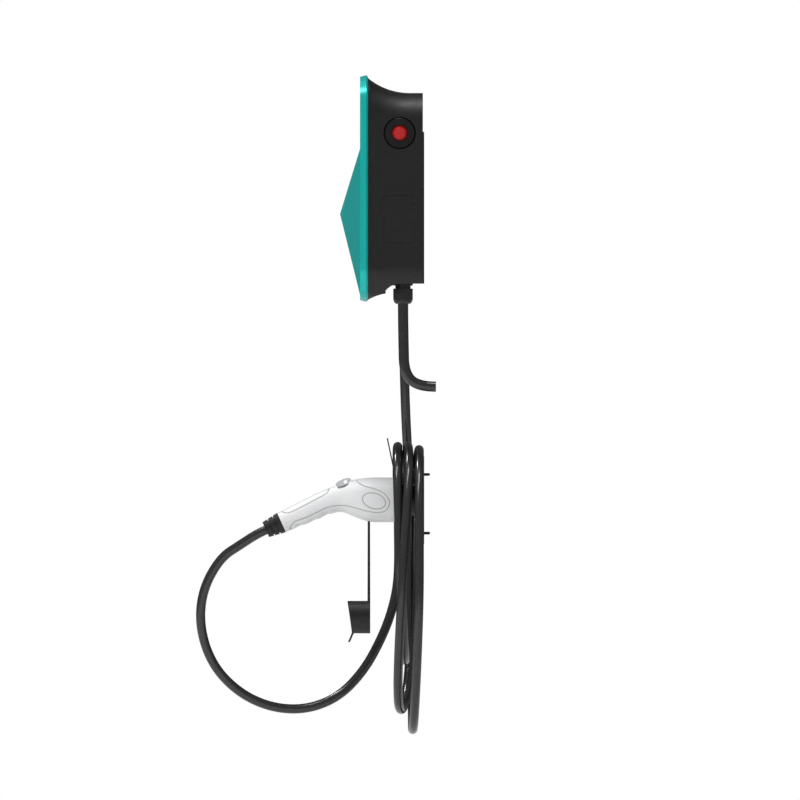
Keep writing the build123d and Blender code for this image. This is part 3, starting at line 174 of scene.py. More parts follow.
def start_material(name, settings):
    """New material with its shader; gives the node tree, the shader and the object coordinates."""
    material = bpy.data.materials.new(name)
    material.use_nodes = True
    tree = material.node_tree
    tree.nodes.clear()
    shader = add_node(tree, "ShaderNodeBsdfPrincipled", settings)
    add_node(tree, "ShaderNodeOutputMaterial", links={"Surface": shader.outputs[0]})
    coords = add_node(tree, "ShaderNodeTexCoord").outputs["Object"]
    return material, tree, shader, coords


def vary_colour(tree, shader, coords, colour, other, patch_mm):
    """Lets the colour drift softly between two near shades over patches of a real size."""
    noise = add_node(tree, "ShaderNodeTexNoise", {"Scale": 1000 / patch_mm, "Detail": 3.0},
                     {"Vector": coords})
    ramp = add_node(tree, "ShaderNodeValToRGB", links={"Fac": noise.outputs["Fac"]})
    for stop, place, shade in zip(ramp.color_ramp.elements, colour_fade, (colour, other)):
        stop.position = place
        stop.color = linear(shade)
    tree.links.new(ramp.outputs["Color"], shader.inputs["Base Color"])
    return ramp.outputs["Color"]


def vary_roughness(tree, shader, coords, low, high, patch_mm):
    """Lets the roughness drift between two values over patches of a real size."""
    noise = add_node(tree, "ShaderNodeTexNoise", {"Scale": 1000 / patch_mm, "Detail": 4.0},
                     {"Vector": coords})
    spread = add_node(tree, "ShaderNodeMapRange", {
        "From Min": roughness_fade[0], "From Max": roughness_fade[1], "To Min": low, "To Max": high},
        {"Value": noise.outputs["Fac"]})
    tree.links.new(spread.outputs["Result"], shader.inputs["Roughness"])


def add_grain(tree, shader, coords, grain_mm, depth_mm):
    """Raised grain of a size and depth in millimetres.

    The grain of mouldings and rubber is really about 0.2 mm, too fine to show, and is drawn coarser.
    """
    noise = add_node(tree, "ShaderNodeTexNoise", {"Scale": 1000 / grain_mm, "Detail": 2.0},
                     {"Vector": coords})
    bump = add_node(tree, "ShaderNodeBump", {"Strength": 1.0, "Distance": depth_mm * MM},
                    {"Height": noise.outputs["Fac"]})
    tree.links.new(bump.outputs["Normal"], shader.inputs["Normal"])


def painted_floor():
    """Matt pale paint; for the eye alone it is lifted where few lamps reach, and lights nothing."""
    material, tree, shader, coords = start_material("pale_floor_paint", {
        "Roughness": 0.8, "IOR": 1.4, "Emission Color": (1, 1, 1, 1)})
    vary_colour(tree, shader, coords, "#F1F1F1", "#F4F4F4", patch_mm=400)
    eye = add_node(tree, "ShaderNodeLightPath").outputs["Is Camera Ray"]
    lift = add_node(tree, "ShaderNodeMath", {"operation": "MULTIPLY", 1: floor_lift}, {0: eye})
    tree.links.new(lift.outputs[0], shader.inputs["Emission Strength"])
    material.cycles.emission_sampling = "NONE"
    return material


def teal_lacquered_abs():
    """Moulded ABS under teal lacquer: even colour, satin gloss, a trace of orange peel.

    Fine metal flake in the lacquer tints a part of the gloss.
    """
    material, tree, shader, coords = start_material("teal_lacquered_abs", {
        "Metallic": 0.45, "IOR": 1.5, "Specular IOR Level": 0.45})
    vary_colour(tree, shader, coords, "#11ACA6", "#13B0AA", patch_mm=60)
    vary_roughness(tree, shader, coords, low=0.22, high=0.27, patch_mm=25)
    add_grain(tree, shader, coords, grain_mm=2.5, depth_mm=0.01)
    return material


def black_grained_abs():
    """Black ABS moulded with a fine spark-eroded grain: dull, with a soft sheen at the edges."""
    material, tree, shader, coords = start_material("black_grained_abs", {
        "IOR": 1.5, "Specular IOR Level": 0.42})
    vary_colour(tree, shader, coords, "#0F0F10", "#111112", patch_mm=30)
    vary_roughness(tree, shader, coords, low=0.42, high=0.5, patch_mm=12)
    add_grain(tree, shader, coords, grain_mm=0.9, depth_mm=0.03)
    return material


def black_satin_abs():
    """Black ABS of the collar and small parts, moulded in a smooth tool: a low, even sheen."""
    material, tree, shader, coords = start_material("black_satin_abs", {
        "IOR": 1.5, "Specular IOR Level": 0.35})
    vary_colour(tree, shader, coords, "#0D0D0E", "#0F0F10", patch_mm=20)
    vary_roughness(tree, shader, coords, low=0.3, high=0.36, patch_mm=8)
    return material


def black_nylon():
    """Glass-filled black nylon of the cable glands: slightly mottled, satin."""
    material, tree, shader, coords = start_material("black_nylon", {"IOR": 1.53})
    vary_colour(tree, shader, coords, "#161617", "#1B1B1C", patch_mm=5)
    vary_roughness(tree, shader, coords, low=0.33, high=0.42, patch_mm=4)
    add_grain(tree, shader, coords, grain_mm=0.7, depth_mm=0.02)
    return material


def black_cable_sheath():
    """Extruded TPE sheath: deep black with a soft gloss along its length."""
    material, tree, shader, coords = start_material("black_cable_sheath", {
        "IOR": 1.5, "Specular IOR Level": 0.6})
    vary_colour(tree, shader, coords, "#202021", "#242425", patch_mm=15)
    vary_roughness(tree, shader, coords, low=0.17, high=0.22, patch_mm=10)
    add_grain(tree, shader, coords, grain_mm=1.2, depth_mm=0.012)
    return material


def black_moulded_rubber():
    """Moulded rubber of the boot, the seals and the dust cap: dull black."""
    material, tree, shader, coords = start_material("black_moulded_rubber", {
        "IOR": 1.52, "Specular IOR Level": 0.42})
    vary_colour(tree, shader, coords, "#111111", "#151515", patch_mm=9)
    vary_roughness(tree, shader, coords, low=0.46, high=0.58, patch_mm=6)
    add_grain(tree, shader, coords, grain_mm=0.8, depth_mm=0.02)
    return material


def epdm_black_and_groove_shade():
    """Moulded EPDM of the ring round the stop button's collar: matt, and the darkest black here.

    The ring is real, and its darkest black also paints the shade at the bottom of the groove.
    """
    material, tree, shader, coords = start_material("epdm_black_and_groove_shade", {
        "IOR": 1.5, "Specular IOR Level": 0.1})
    vary_colour(tree, shader, coords, "#060606", "#090909", patch_mm=4)
    vary_roughness(tree, shader, coords, low=0.7, high=0.8, patch_mm=3)
    return material


def black_powder_coat():
    """Powder coat on folded sheet steel: dark, fine orange peel."""
    material, tree, shader, coords = start_material("black_powder_coat", {"IOR": 1.5})
    vary_colour(tree, shader, coords, "#0E0E0F", "#121213", patch_mm=12)
    vary_roughness(tree, shader, coords, low=0.38, high=0.47, patch_mm=8)
    add_grain(tree, shader, coords, grain_mm=0.6, depth_mm=0.03)
    return material


def red_button_polycarbonate():
    """Red polycarbonate moulded in a polished tool: glossy, one deep colour."""
    material, tree, shader, coords = start_material("red_button_polycarbonate", {
        "IOR": 1.58, "Specular IOR Level": 0.3})
    vary_colour(tree, shader, coords, "#A01818", "#A41B1B", patch_mm=8)
    vary_roughness(tree, shader, coords, low=0.25, high=0.3, patch_mm=5)
    return material


def white_plug_abs():
    """Moulded white ABS of the plug's handle: satin, its tone barely uneven, grey along the grooves.

    The grey is partly the seam's own colour and partly painted shade in the grooves. The attribute
    read here is 1 along a groove; the mix node's colours are its inputs 6 and 7.
    """
    material, tree, shader, coords = start_material("white_plug_abs", {"IOR": 1.5})
    white = vary_colour(tree, shader, coords, "#CFD0D1", "#D4D4D5", patch_mm=25)
    groove_and_shade = add_node(tree, "ShaderNodeAttribute", {"attribute_name": "groove_and_shade"})
    shade = add_node(tree, "ShaderNodeMix", {"data_type": "RGBA"}, {0: groove_and_shade.outputs["Fac"], 6: white})
    # Grey of the grooves: painted shade in the groove, together with the seam's own grey
    shade.inputs[7].default_value = linear("#8E9092")
    tree.links.new(shade.outputs[2], shader.inputs["Base Color"])
    vary_roughness(tree, shader, coords, low=0.33, high=0.4, patch_mm=10)
    add_grain(tree, shader, coords, grain_mm=0.8, depth_mm=0.008)
    return material


def grey_latch_pom():
    """Light grey acetal of the latch: smooth and slightly waxy."""
    material, tree, shader, coords = start_material("grey_latch_pom", {"IOR": 1.48})
    vary_colour(tree, shader, coords, "#B4B5B7", "#B9BABC", patch_mm=6)
    vary_roughness(tree, shader, coords, low=0.32, high=0.4, patch_mm=4)
    return material


def zinc_plated_steel():
    """Zinc-plated steel: cool grey with faint spangle."""
    material, tree, shader, coords = start_material("zinc_plated_steel", {"Metallic": 1.0})
    vary_colour(tree, shader, coords, "#A9ACAE", "#BABDBF", patch_mm=6)
    vary_roughness(tree, shader, coords, low=0.28, high=0.42, patch_mm=3)
    return material


def blackened_screw_steel():
    """Phosphated steel of screws and rivets: nearly black, with a dull metal sheen."""
    material, tree, shader, coords = start_material("blackened_screw_steel", {"Metallic": 0.6})
    vary_colour(tree, shader, coords, "#1D1D1E", "#242425", patch_mm=2)
    vary_roughness(tree, shader, coords, low=0.4, high=0.5, patch_mm=2)
    return material


def grey_device_pbt():
    """Moulded light grey PBT of switchgear housings: dull, finely grained."""
    material, tree, shader, coords = start_material("grey_device_pbt", {"IOR": 1.55})
    vary_colour(tree, shader, coords, "#C3C5C5", "#CACCCC", patch_mm=15)
    vary_roughness(tree, shader, coords, low=0.45, high=0.55, patch_mm=6)
    add_grain(tree, shader, coords, grain_mm=0.6, depth_mm=0.015)
    return material


def green_solder_mask():
    """Green solder mask over copper: glossy, with the tracks showing as a lighter net.

    One mesh of the net is 5.6 mm by 2.8 mm: half a metre and a quarter, over the scale.
    """
    material, tree, shader, coords = start_material("green_solder_mask", {"IOR": 1.5, "Roughness": 0.25})
    tracks = add_node(tree, "ShaderNodeTexBrick", {
        "Scale": 90.0, "Color1": linear("#0B4A22"), "Color2": linear("#0D5227"),
        "Mortar": linear("#1B7A3C"), "Mortar Size": 0.03}, {"Vector": coords})
    tree.links.new(tracks.outputs["Color"], shader.inputs["Base Color"])
    return material


def bare_brass():
    """Drawn brass of the earth bar, left bare: warm yellow metal, a little uneven."""
    material, tree, shader, coords = start_material("bare_brass", {"Metallic": 1.0})
    vary_colour(tree, shader, coords, "#C9A24E", "#D3AE5E", patch_mm=8)
    vary_roughness(tree, shader, coords, low=0.22, high=0.34, patch_mm=4)
    return material


def silver_plated_contact():
    """Turned and silver-plated contact tubes: bright, pale metal."""
    material, tree, shader, coords = start_material("silver_plated_contact", {"Metallic": 1.0})
    vary_colour(tree, shader, coords, "#D5D3CD", "#DEDCD7", patch_mm=3)
    vary_roughness(tree, shader, coords, low=0.15, high=0.24, patch_mm=2)
    return material


def dress_nodes():
    """Gives every visible piece of the frame the material that the real one is made of."""
    dress = {
        teal_lacquered_abs: ["front_cover"],
        black_grained_abs: ["housing", "breaker_flap"],
        black_satin_abs: ["stop_button_collar", "breaker_lever", "current_sensor", "stop_button_nut",
                          "plug_nose", "plug_contact_block"],
        red_button_polycarbonate: ["stop_button_cap"],
        black_nylon: [f"{side}_gland_{part}" for side in ("supply", "charge")
                      for part in ("body", "nut", "locknut")],
        black_moulded_rubber: ["cover_gasket", "supply_gland_seal", "charge_gland_seal", "plug_boot"],
        black_powder_coat: ["back_plate", "holder_wall_plate", "holder_saddle", "holder_front_plate",
                            "holder_socket"],
        blackened_screw_steel: ["holder_wall_screws", "holder_rivets", "cover_screws"],
        zinc_plated_steel: ["flap_hinge_pin", "rail_bracket", "din_rail", "board_standoffs",
                            "terminal_rail", "plug_latch_pin", "plug_latch_spring"],
        grey_device_pbt: ["breaker", "contactor", "supply_terminals", "stop_button_contact_block"],
        green_solder_mask: ["control_board"],
        bare_brass: ["earth_bar"],
        silver_plated_contact: ["plug_contacts"],
        white_plug_abs: ["plug_face_ring"],
        grey_latch_pom: ["plug_latch"],
    }
    for make, names in dress.items():
        material = make()
        for name in names:
            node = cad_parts[name]
            node.data.materials.clear()
            node.data.materials.append(material)


# Plug, cap and seal, in millimetres, the unit of the CAD's source, with angles in degrees

# Handle. Each station is the depth of its centre along Y, its height over the plug's axis, its
# tilt, and its half height and half width.
plug_stations = [
    (-49, 0, 0, 33.5, 30),
    (-61, 0, 0, 33.5, 30),
    (-74, 0, 0, 33.5, 30),
    (-80, 0.1, 0, 33.3, 29.8),
    (-93, 1.2, 0, 31, 28),
    (-111, 2.6, 3, 26, 24),
    (-126, 2, 10, 20.8, 20.5),
    (-145.5, -3.2, 20, 18.4, 18.4),
    (-174, -15.8, 24.5, 17.5, 17.4),
    (-201, -28.2, 24.5, 16, 16.2),
    (-214, -34.1, 24.5, 15.8, 16),
]
shell_wall = 2.6
seam_gap = 0.08
seam_round = 0.5
# The handle's back end, inside the boot, is drawn in to this share of its size
back_end_share = 0.5
# Points of the skin along the handle and round half of it
skin_rows = 420
skin_columns = 220

# Lines on the flank, as points of depth and height over the axis. This one is the edge of the soft
# underside, from the latch round the flank to the boot.
flank_line = [
    (-101, 29), (-92, 21.6), (-75, 16.7), (-60.5, 10.2), (-52.6, 0.2), (-52, -7), (-57.6, -16.4),
    (-70.5, -19.4), (-89, -16.4), (-103.5, -12.2), (-118, -9), (-132, -9), (-146.5, -12.2),
    (-160.5, -18.8), (-175, -25.8), (-192.5, -32.3), (-198.2, -37.2), (-201.8, -45.6),
]
# Edge of the panel on the back of the handle
back_line = [
    (-142.2, 18.5), (-144, 13.5), (-148, 9), (-160.8, 1.5), (-182.4, -9.9), (-199.7, -18.3),
    (-208.2, -19.4), (-216, -16),
]
# Oval: depth and height of its centre, half length, half height and lean
flank_oval = (-75, -1.7, 17.7, 11.6, -17)
# Groove along the lines and the oval
groove_depth = 0.8
groove_half_width = 0.65

# Finger waves along the underside, which fade out towards both ends and round the flank
grip_height = 0.6
grip_pitch = 20
grip_peak = -183
grip_front = -135
grip_front_fade = 12
grip_back = -208
grip_back_fade = 8
grip_wrap_slope = 1.6
grip_wrap_start = 0.5

# Thumb notch of the latch: depth and height of its centre, half length, half height, lean and the
# latch's swing; and the slot in its floor for the latch's web
latch_pivot = (-87.3, 25.6)
thumb_notch = (-121.5, 26.2, 13.1, 5.7, 23, 3)
web_slot_half_width = 4.7
web_slot_floor = 11
# Height that stands for no notch
no_notch = 1e3

# Slot in the underside for the strap of the dust cap: its middle's depth, half depth, half width
strap_slot = (-83.0, 2.1, 6.2)
strap_slot_top = -20

# Dust cap: its cup, which opens towards the front, its strap and its lip. A section of the strap or
# the lip is the depth of its middle, its height, its half width and its half thickness.
cap_axis_height = -614
cap_rear = -80.9
cap_radius = 24.4
cap_wall = 2.4
cap_edge = 0.8
cap_mouth = -111.7
cap_mouth_slope = 3.3
cap_columns = 97
strap_sections = [(-83.0, -592, 6, 2.1), (-83.0, -465.2, 6, 1.8), (-82.9, -465.2, 9, 2.5),
                  (-82.9, -462.2, 9, 2.5)]
lip_sections = [(-106.7, -637, 7, 1.7), (-112.9, -651.5, 7, 1.5)]
bar_squareness = 0.25
bar_columns = 41

# Rubber ring round the stop button's collar: where it is seated along X and its centre in Y and Z
collar_seal_seat = (119.5, -36.8, 112.2)
collar_seal_radius = 23.3
collar_seal_tube = 0.9
collar_seal_columns = 96
collar_seal_tube_columns = 16

# Edges sharper than this stay sharp in the smooth shading
sharp_angle = 40
# Steps from one point of a line to the next, where distances from the line are worked out
line_steps_per_point = 16
# Smallest divisor
tiny = 1e-6


def smooth_through(knots, values, at):
    """Cubic curve through values at knots, each tangent the slope between its two neighbours."""
    slope = np.gradient(values, knots, axis=0)
    index = np.clip(np.searchsorted(knots, at, side="right") - 1, 0, len(knots) - 2)
    run = knots[index + 1] - knots[index]
    t = (at - knots[index]) / run
    run, t = run[:, None], t[:, None]
    return ((2 * t**3 - 3 * t**2 + 1) * values[index] + (t**3 - 2 * t**2 + t) * run * slope[index]
            + (3 * t**2 - 2 * t**3) * values[index + 1] + (t**3 - t**2) * run * slope[index + 1])


def line_distance(line, y, z):
    """Distance of points (y, z) from a smooth line through the given points, seen from the side."""
    knots = np.arange(len(line), dtype=float)
    steps = np.linspace(0, len(line) - 1, line_steps_per_point * len(line))
    fine = smooth_through(knots, np.array(line, float), steps)
    best = np.full(y.shape, np.inf)
    for (y0, z0), (y1, z1) in zip(fine, fine[1:]):
        run_y, run_z = y1 - y0, z1 - z0
        share = np.clip(((y - y0) * run_y + (z - z0) * run_z) / (run_y**2 + run_z**2), 0, 1)
        best = np.minimum(best, np.hypot(y - y0 - share * run_y, z - z0 - share * run_z))
    return best


def leaning_ellipse(oval, y, z):
    """Signed distance, about, of points (y, z) from a leaning ellipse: negative inside."""
    centre_y, centre_z, half_length, half_height, lean = oval
    turn = math.radians(lean)
    along = (y - centre_y) * math.cos(turn) + (z - centre_z) * math.sin(turn)
    up = (z - centre_z) * math.cos(turn) - (y - centre_y) * math.sin(turn)
    radius = np.hypot(along / half_length, up / half_height)
    steep = np.hypot(along / half_length**2, up / half_height**2) / np.maximum(radius, tiny)
    return (radius - 1) / np.maximum(steep, tiny)


def notch_floor(y):
    """Height of the lower edge of the thumb notch at a depth, over the latch's whole swing.

    The notch is a leaning ellipse, turned about the latch's pivot to the start, the middle and
    the end of its swing; the lowest of the three lower edges counts, and beside them there is none.
    """
    centre_y, centre_z, half_length, half_height, lean, swing = thumb_notch
    out_y, out_z = centre_y - latch_pivot[0], centre_z - latch_pivot[1]
    low = np.full(y.shape, no_notch)
    for angle in (0, swing / 2, swing):
        turn = math.radians(angle)
        mid_y = latch_pivot[0] + out_y * math.cos(turn) - out_z * math.sin(turn)
        mid_z = latch_pivot[1] + out_y * math.sin(turn) + out_z * math.cos(turn)
        lean_turn = math.radians(lean + angle)
        c, s = math.cos(lean_turn), math.sin(lean_turn)
        reach = math.hypot(half_length * c, half_height * s)
        across = (y - mid_y) / reach
        inside = np.abs(across) < 1
        drop = half_length * half_height / reach * np.sqrt(np.maximum(0, 1 - across**2))
        tilt = (half_length**2 - half_height**2) * s * c / reach**2
        low = np.where(inside, np.minimum(low, mid_z + tilt * (y - mid_y) - drop), low)
    return low


def grid_object(name, *grids):
    """Smooth mesh over one or more grids of points, its sharper edges kept."""
    faces = []
    start = 0
    for points in grids:
        rows, columns = points.shape[:2]
        number = start + np.arange(rows * columns).reshape(rows, columns)
        corners = (number[:-1, :-1], number[1:, :-1], number[1:, 1:], number[:-1, 1:])
        faces.append(np.stack(corners, axis=-1).reshape(-1, 4))
        start += rows * columns
    faces = np.concatenate(faces)
    mesh = bpy.data.meshes.new(name)
    mesh.vertices.add(start)
    mesh.vertices.foreach_set("co", np.concatenate([points.reshape(-1, 3) for points in grids]).ravel())
    mesh.loops.add(faces.size)
    mesh.loops.foreach_set("vertex_index", faces.ravel())
    mesh.polygons.add(len(faces))
    mesh.polygons.foreach_set("loop_start", np.arange(0, faces.size, 4))
    mesh.update(calc_edges=True)
    mesh.validate()
    mesh.polygons.foreach_set("use_smooth", np.ones(len(mesh.polygons), bool))
    mesh.set_sharp_from_angle(angle=math.radians(sharp_angle))
    piece = bpy.data.objects.new(name, mesh)
    bpy.context.scene.collection.objects.link(piece)
    return piece


def cut_openings(x, y, z):
    """Heights of the skin after the thumb notch, the slot of the latch's web and the strap's slot.

    The notch and the web's slot cut the skin down flat to a height; the strap's slot lifts the
    underside by the wall.
    """
    floor = notch_floor(y)
    in_web_slot = (x < web_slot_half_width) & (floor < no_notch)
    z = np.minimum(z, np.where(in_web_slot, np.minimum(floor, web_slot_floor), floor))
    slot_y, slot_half, slot_width = strap_slot
    in_strap_slot = (np.abs(y - slot_y) < slot_half) & (x < slot_width) & (z < strap_slot_top)
    return np.where(in_strap_slot, z + shell_wall, z)


def turn_in_ends(skin):
    """Skin with one more section at each end: in by the wall in front, drawn in inside the boot."""
    first_half_height, first_half_width = plug_stations[0][3:]
    front = skin[:1].copy()
    front[..., 0] *= 1 - shell_wall / first_half_width
    front[..., 2] *= 1 - shell_wall / first_half_height
    centre = np.array([0, plug_stations[-1][0], plug_stations[-1][1]])
    back = centre + (skin[-1:] - centre) * back_end_share
    back[..., 0] = np.maximum(back[..., 0], seam_gap)
    return np.concatenate([front, skin, back], axis=0)


def shell_points(side):
    """Outer skin of one half of the handle, its edges turned in along the seam and at both ends.

    Sections are ellipses whose centre, tilt and half axes run smoothly through the stations. The
    skin sinks by a bell-shaped groove beside the lines and the oval and swells in finger waves
    along the underside, then the openings are cut, and a strip as wide as the wall is turned in
    along the seam. With the points come the groove's bell values, 1 in a groove and 0 away from
    it, which paint the grooves grey: painted shade in the groove together with the seam's own grey.
    """
    stations = np.array(plug_stations, float)
    steps = np.hypot(np.diff(stations[:, 0]), np.diff(stations[:, 1]))
    knots = np.concatenate([[0], np.cumsum(steps)])
    along = np.linspace(0, knots[-1], skin_rows)
    depth, height, tilt, half_height, half_width = smooth_through(knots, stations, along).T[:, :, None]
    angle = np.linspace(-math.pi / 2, math.pi / 2, skin_columns)[None, :]
    turn = np.radians(tilt)
    across = half_width * np.cos(angle)
    up = half_height * np.sin(angle)
    y = depth - up * np.sin(turn)
    z = height + up * np.cos(turn)
    near = np.minimum(line_distance(flank_line, y, z), line_distance(back_line, y, z))
    near = np.minimum(near, np.abs(leaning_ellipse(flank_oval, y, z)))
    # The groove's bell sinks the groove and marks where grey is painted along it: painted shade together
    # with the seam's own grey
    groove_and_shade = np.exp(-(near / groove_half_width) ** 2)
    sink = groove_depth * groove_and_shade
    under = np.clip(-np.sin(angle) * grip_wrap_slope - grip_wrap_start, 0, 1)
    held = (np.clip((grip_front - depth) / grip_front_fade, 0, 1)
            * np.clip((depth - grip_back) / grip_back_fade, 0, 1))
    swell = grip_height * under * held * np.cos((depth - grip_peak) * 2 * math.pi / grip_pitch)
    roll = seam_round * np.maximum(0, 1 - across / seam_round) ** 2
    scale = 1 + (swell - sink - roll) / np.hypot(across, up)
    x = seam_gap + across * scale
    y = depth - up * scale * np.sin(turn)
    z = cut_openings(x, y, height + up * scale * np.cos(turn))
    skin = np.stack([x, y, z], axis=-1)
    inward = 1 - shell_wall / np.hypot(across, up)
    rim = np.stack([x * inward + seam_gap, depth - (depth - y) * inward, height + (z - height) * inward],
                   axis=-1)
    skin = np.concatenate([rim[:, :1], skin, rim[:, -1:]], axis=1)
    skin[:, [0, -1], 0] = seam_gap
    skin = turn_in_ends(skin)
    skin[..., 0] *= side
    skin[..., 2] += plug_axis_height / MM
    return skin * MM, np.pad(groove_and_shade, 1)


def make_collar_seal():
    """Rubber ring at the bottom of the groove round the collar, seen as a thin black line.

    A torus about the button's axis: the circle of the tube runs round the circle of the groove.
    Its darkest matt black also paints the shade in the groove.
    """
    seat_x, centre_y, centre_z = collar_seal_seat
    around, tube = np.meshgrid(np.linspace(0, 2 * math.pi, collar_seal_columns, endpoint=False),
                               np.linspace(0, 2 * math.pi, collar_seal_tube_columns), indexing="ij")
    radius = collar_seal_radius + collar_seal_tube * np.cos(tube)
    points = np.stack([seat_x + collar_seal_tube * (1 + np.sin(tube)),
                       centre_y + radius * np.cos(around),
                       centre_z + radius * np.sin(around)], axis=-1)
    seal = grid_object("collar_seal", np.concatenate([points, points[:1]]) * MM)
    # The ring's darkest matt black is its own colour and also painted shade at the bottom of the groove
    seal.data.materials.append(epdm_black_and_groove_shade())
    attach(seal, "root")


def bar_points(sections):
    """Closed bar through sections across it, each a circle drawn out towards a rectangle.

    The circle's sine and cosine are raised to a small power, so that it becomes a rectangle
    with rounded corners; both ends are closed by a section shrunk to its middle.
    """
    angle = np.linspace(0, 2 * math.pi, bar_columns)
    across = np.sign(np.cos(angle)) * np.abs(np.cos(angle)) ** bar_squareness
    out = np.sign(np.sin(angle)) * np.abs(np.sin(angle)) ** bar_squareness
    rows = [np.column_stack([half_width * across, y + half_thickness * out, np.full(angle.size, z)])
            for y, z, half_width, half_thickness in sections]
    ends = [np.tile([0, y, z], (angle.size, 1)) for y, z, _, _ in (sections[0], sections[-1])]
    return np.stack([ends[0], *rows, ends[1]])


def cup_points():
    """Cup turned about its axis, its mouth cut slantwise, deeper above than below.

    Each point of the profile is a radius, a step from the rear and a share of the way to the
    mouth; the mouth's depth goes with the sine of the angle round the axis.
    """
    inner = cap_radius - cap_wall
    profile = [(0, 0, 0), (cap_radius - cap_edge, 0, 0), (cap_radius, -cap_edge, 0), (cap_radius, 0, 1),
               (inner, 0, 1), (inner, -cap_wall, 0), (0, -cap_wall, 0)]
    radius, step, share = np.array(profile, float).T[:, :, None]
    angle = np.linspace(0, 2 * math.pi, cap_columns)[None, :]
    mouth = cap_mouth - cap_mouth_slope * np.sin(angle)
    return np.stack([radius * np.cos(angle),
                     cap_rear + step + share * (mouth - cap_rear),
                     cap_axis_height + radius * np.sin(angle)], axis=-1)


def make_dust_cap():
    """Dust cap of the plug: its cup, the strap that it hangs on and the lip to pull it by."""
    cap = grid_object("dust_cap_rubber", cup_points() * MM, bar_points(strap_sections) * MM,
                      bar_points(lip_sections) * MM)
    cap.data.materials.append(black_moulded_rubber())
    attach(cap, "root")
    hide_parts("dust_cap")
    return cap


def make_plug_shells():
    """Both halves of the plug's handle."""
    material = white_plug_abs()
    pieces = []
    for side, name in ((1, "right"), (-1, "left")):
        points, groove_and_shade = shell_points(side)
        piece = grid_object(f"plug_handle_{name}", points[::side])
        # Values that paint the grooves grey: painted shade together with the seam's own grey
        mark = piece.data.attributes.new("groove_and_shade", "FLOAT", "POINT")
        mark.data.foreach_set("value", groove_and_shade[::side].ravel())
        piece.data.materials.append(material)
        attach(piece, "root")
        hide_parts(f"plug_shell_{name}")
        pieces.append(piece)
    return pieces


# Cords, in metres. The routes are the CAD's.

supply_route = [
    (0.080, -0.0318, -0.119),
    (0.080, -0.0318, -0.156),
    (0.080, -0.0310, -0.204),
    (0.080, -0.0300, -0.248),
    (0.080, -0.0095, -0.2682),
    (0.080, 0.0177, -0.2684),
]
drop_route = [
    (-0.0800, -0.0318, -0.119),
    (-0.0800, -0.0318, -0.170),
    (-0.0815, -0.0300, -0.238),
    (-0.0880, -0.0280, -0.305),
    (-0.0990, -0.0250, -0.365),
    (-0.1150, -0.0220, -0.422),
    (-0.1290, -0.0205, -0.478),
]
tail_route = [
    (-0.103, -0.038, -0.527),
    (-0.101, -0.040, -0.568),
    (-0.096, -0.049, -0.607),
    (-0.088, -0.064, -0.646),
    (-0.078, -0.090, -0.694),
    (-0.066, -0.128, -0.734),
    (-0.055, -0.177, -0.753),
    (-0.046, -0.230, -0.750),
    (-0.038, -0.279, -0.727),
    (-0.029, -0.318, -0.686),
    (-0.020, -0.337, -0.630),
    (-0.012, -0.333, -0.574),
    (-0.006, -0.306, -0.525),
    (-0.002, -0.275, -0.505),
    (0.000, -0.250, -0.4885),
    (0.000, -0.226, -0.4776),
]

# Half turns of the coil in order: side, half width, the height where it starts and ends, and its
# depth at the start, at the two handles of its curve and at the end. Side -1 is the left, far one.
half_turns = [
    (-1, 0.138, -0.3636, -0.7852, (-0.0210, -0.0195, -0.0180, -0.0172)),
    (1, 0.138, -0.7852, -0.3602, (-0.0172, -0.0140, 0.0035, -0.0074)),
    (-1, 0.122, -0.3602, -0.7551, (-0.0074, -0.0140, -0.0150, -0.0348)),
    (1, 0.124, -0.7551, -0.3543, (-0.0348, -0.0530, -0.0125, -0.0252)),
    (-1, 0.104, -0.3543, -0.6809, (-0.0252, -0.0255, -0.0270, -0.0288)),
    (1, 0.106, -0.6809, -0.3560, (-0.0288, -0.0292, -0.0452, -0.0396)),
    (-1, 0.104, -0.3560, -0.6800, (-0.0396, -0.0390, -0.0386, -0.0380)),
]
wall_clearance = 0.4 * MM
# Behind this depth a turn lies in the saddle's groove, before it on the saddle itself
groove_front = -0.0138
points_per_half_turn = 10
# Points of the coil left out where the drop comes in and where the tail goes out
coil_start = 4
coil_end = 5
# Steps of a cable's surface between two points of its route, and round a quarter of it
cable_steps = 8
cable_facets = 6


def half_turn_points(half):
    """Half an ellipse seen from the front, its depth on a cubic curve and clear of the wall.

    The angle t runs from 0 to half a circle; x = side * width * sin t, the height goes as
    cos t from start to end, the depth is a Bezier curve over t, and a point nearer to the
    saddle's axis than the saddle's surface plus the cable's radius is moved out to it.
    """
    side, width, high, low, (y_start, y_near, y_far, y_end) = half
    share = np.arange(points_per_half_turn) / points_per_half_turn
    x = side * width * np.sin(math.pi * share)
    z = high + (low - high) * (1 - np.cos(math.pi * share)) / 2
    rest = 1 - share
    y = y_start * rest**3 + 3 * y_near * share * rest**2 + 3 * y_far * share**2 * rest + y_end * share**3
    y = np.minimum(y, -charge_cable_radius - wall_clearance)
    bed = np.where(y > groove_front, groove_radius, saddle_radius) + charge_cable_radius
    away = np.hypot(x, z - plug_axis_height)
    push = np.where(z > plug_axis_height, np.maximum(1.0, bed / np.maximum(away, bed / 2)), 1.0)
    return np.column_stack([x * push, y, plug_axis_height + (z - plug_axis_height) * push])


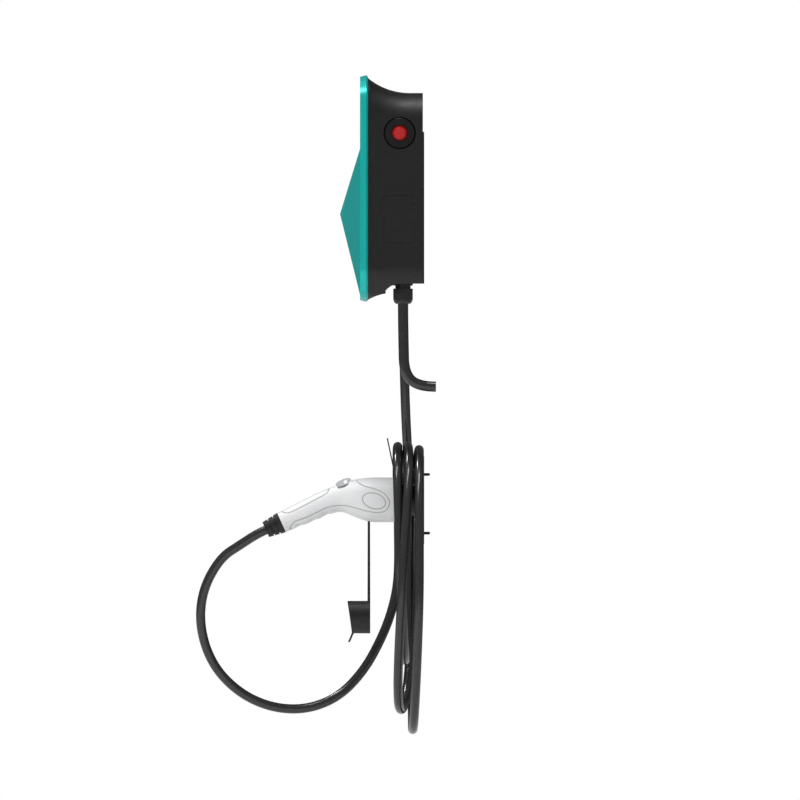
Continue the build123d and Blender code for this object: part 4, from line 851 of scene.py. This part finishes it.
def coil_points():
    """All the half turns in order, without the points that the drop and the tail take over."""
    points = np.vstack([half_turn_points(half) for half in half_turns])
    return points[coil_start:len(points) - coil_end]


def make_cable(name, points, radius):
    """Round cable along one smooth NURBS spline through the given control points."""
    data = bpy.data.curves.new(name, "CURVE")
    data.dimensions = "3D"
    spline = data.splines.new("NURBS")
    spline.points.add(len(points) - 1)
    flat = np.column_stack([np.array(points), np.ones(len(points))]).ravel()
    spline.points.foreach_set("co", flat)
    spline.order_u = 3
    spline.use_endpoint_u = True
    spline.use_smooth = True
    data.resolution_u = cable_steps
    data.bevel_depth = 1.0
    spline.points.foreach_set("radius", np.full(len(points), radius))
    data.bevel_resolution = cable_facets
    data.use_fill_caps = True
    cable = bpy.data.objects.new(name, data)
    bpy.context.scene.collection.objects.link(cable)
    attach(cable, "root")
    return cable


def make_cables(plug_pieces):
    """The supply cable behind, and the charging cable from its gland through the coil to the plug."""
    sheath = black_cable_sheath()
    supply = make_cable("supply_cable_line", supply_route, supply_cable_radius)
    supply.data.materials.append(sheath)
    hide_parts("supply_cable")
    route = np.vstack([np.array(drop_route), coil_points(), np.array(tail_route)])
    charge = make_cable("charge_cable_line", route, charge_cable_radius)
    charge.data.materials.append(sheath)
    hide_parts("charge_cable_drop", "charge_cable_coil", "charge_cable_tail")


bpy.context.scene.view_settings.view_transform = "Standard"
make_camera()
make_world()
make_floor()
make_lamp("key_lamp", place=(2.8, -0.8, 0.3), target=(0, 0, -0.3), size=1.8, watts=36)
make_lamp("top_lamp", place=(0.5, -0.15, 2.1), target=(0, 0, 0), size=0.7, watts=20, mirrored=True)
make_lamp("far_top_lamp", place=(-0.6, -1.1, 1.7), target=(0, 0, -0.3), size=0.35, watts=18,
          mirrored=True)
make_lamp("corner_lamp", place=(0.98, -1.05, 2.08), target=(0, -0.1, 0.1), size=0.35, watts=10,
          mirrored=True)
make_lamp("front_lamp", place=(0.6, -2.6, 0.2), target=(0, 0, -0.2), size=1.6, watts=14)
dress_nodes()
make_collar_seal()
make_cables(make_plug_shells() + [make_dust_cap()])
bpy.context.view_layer.update()
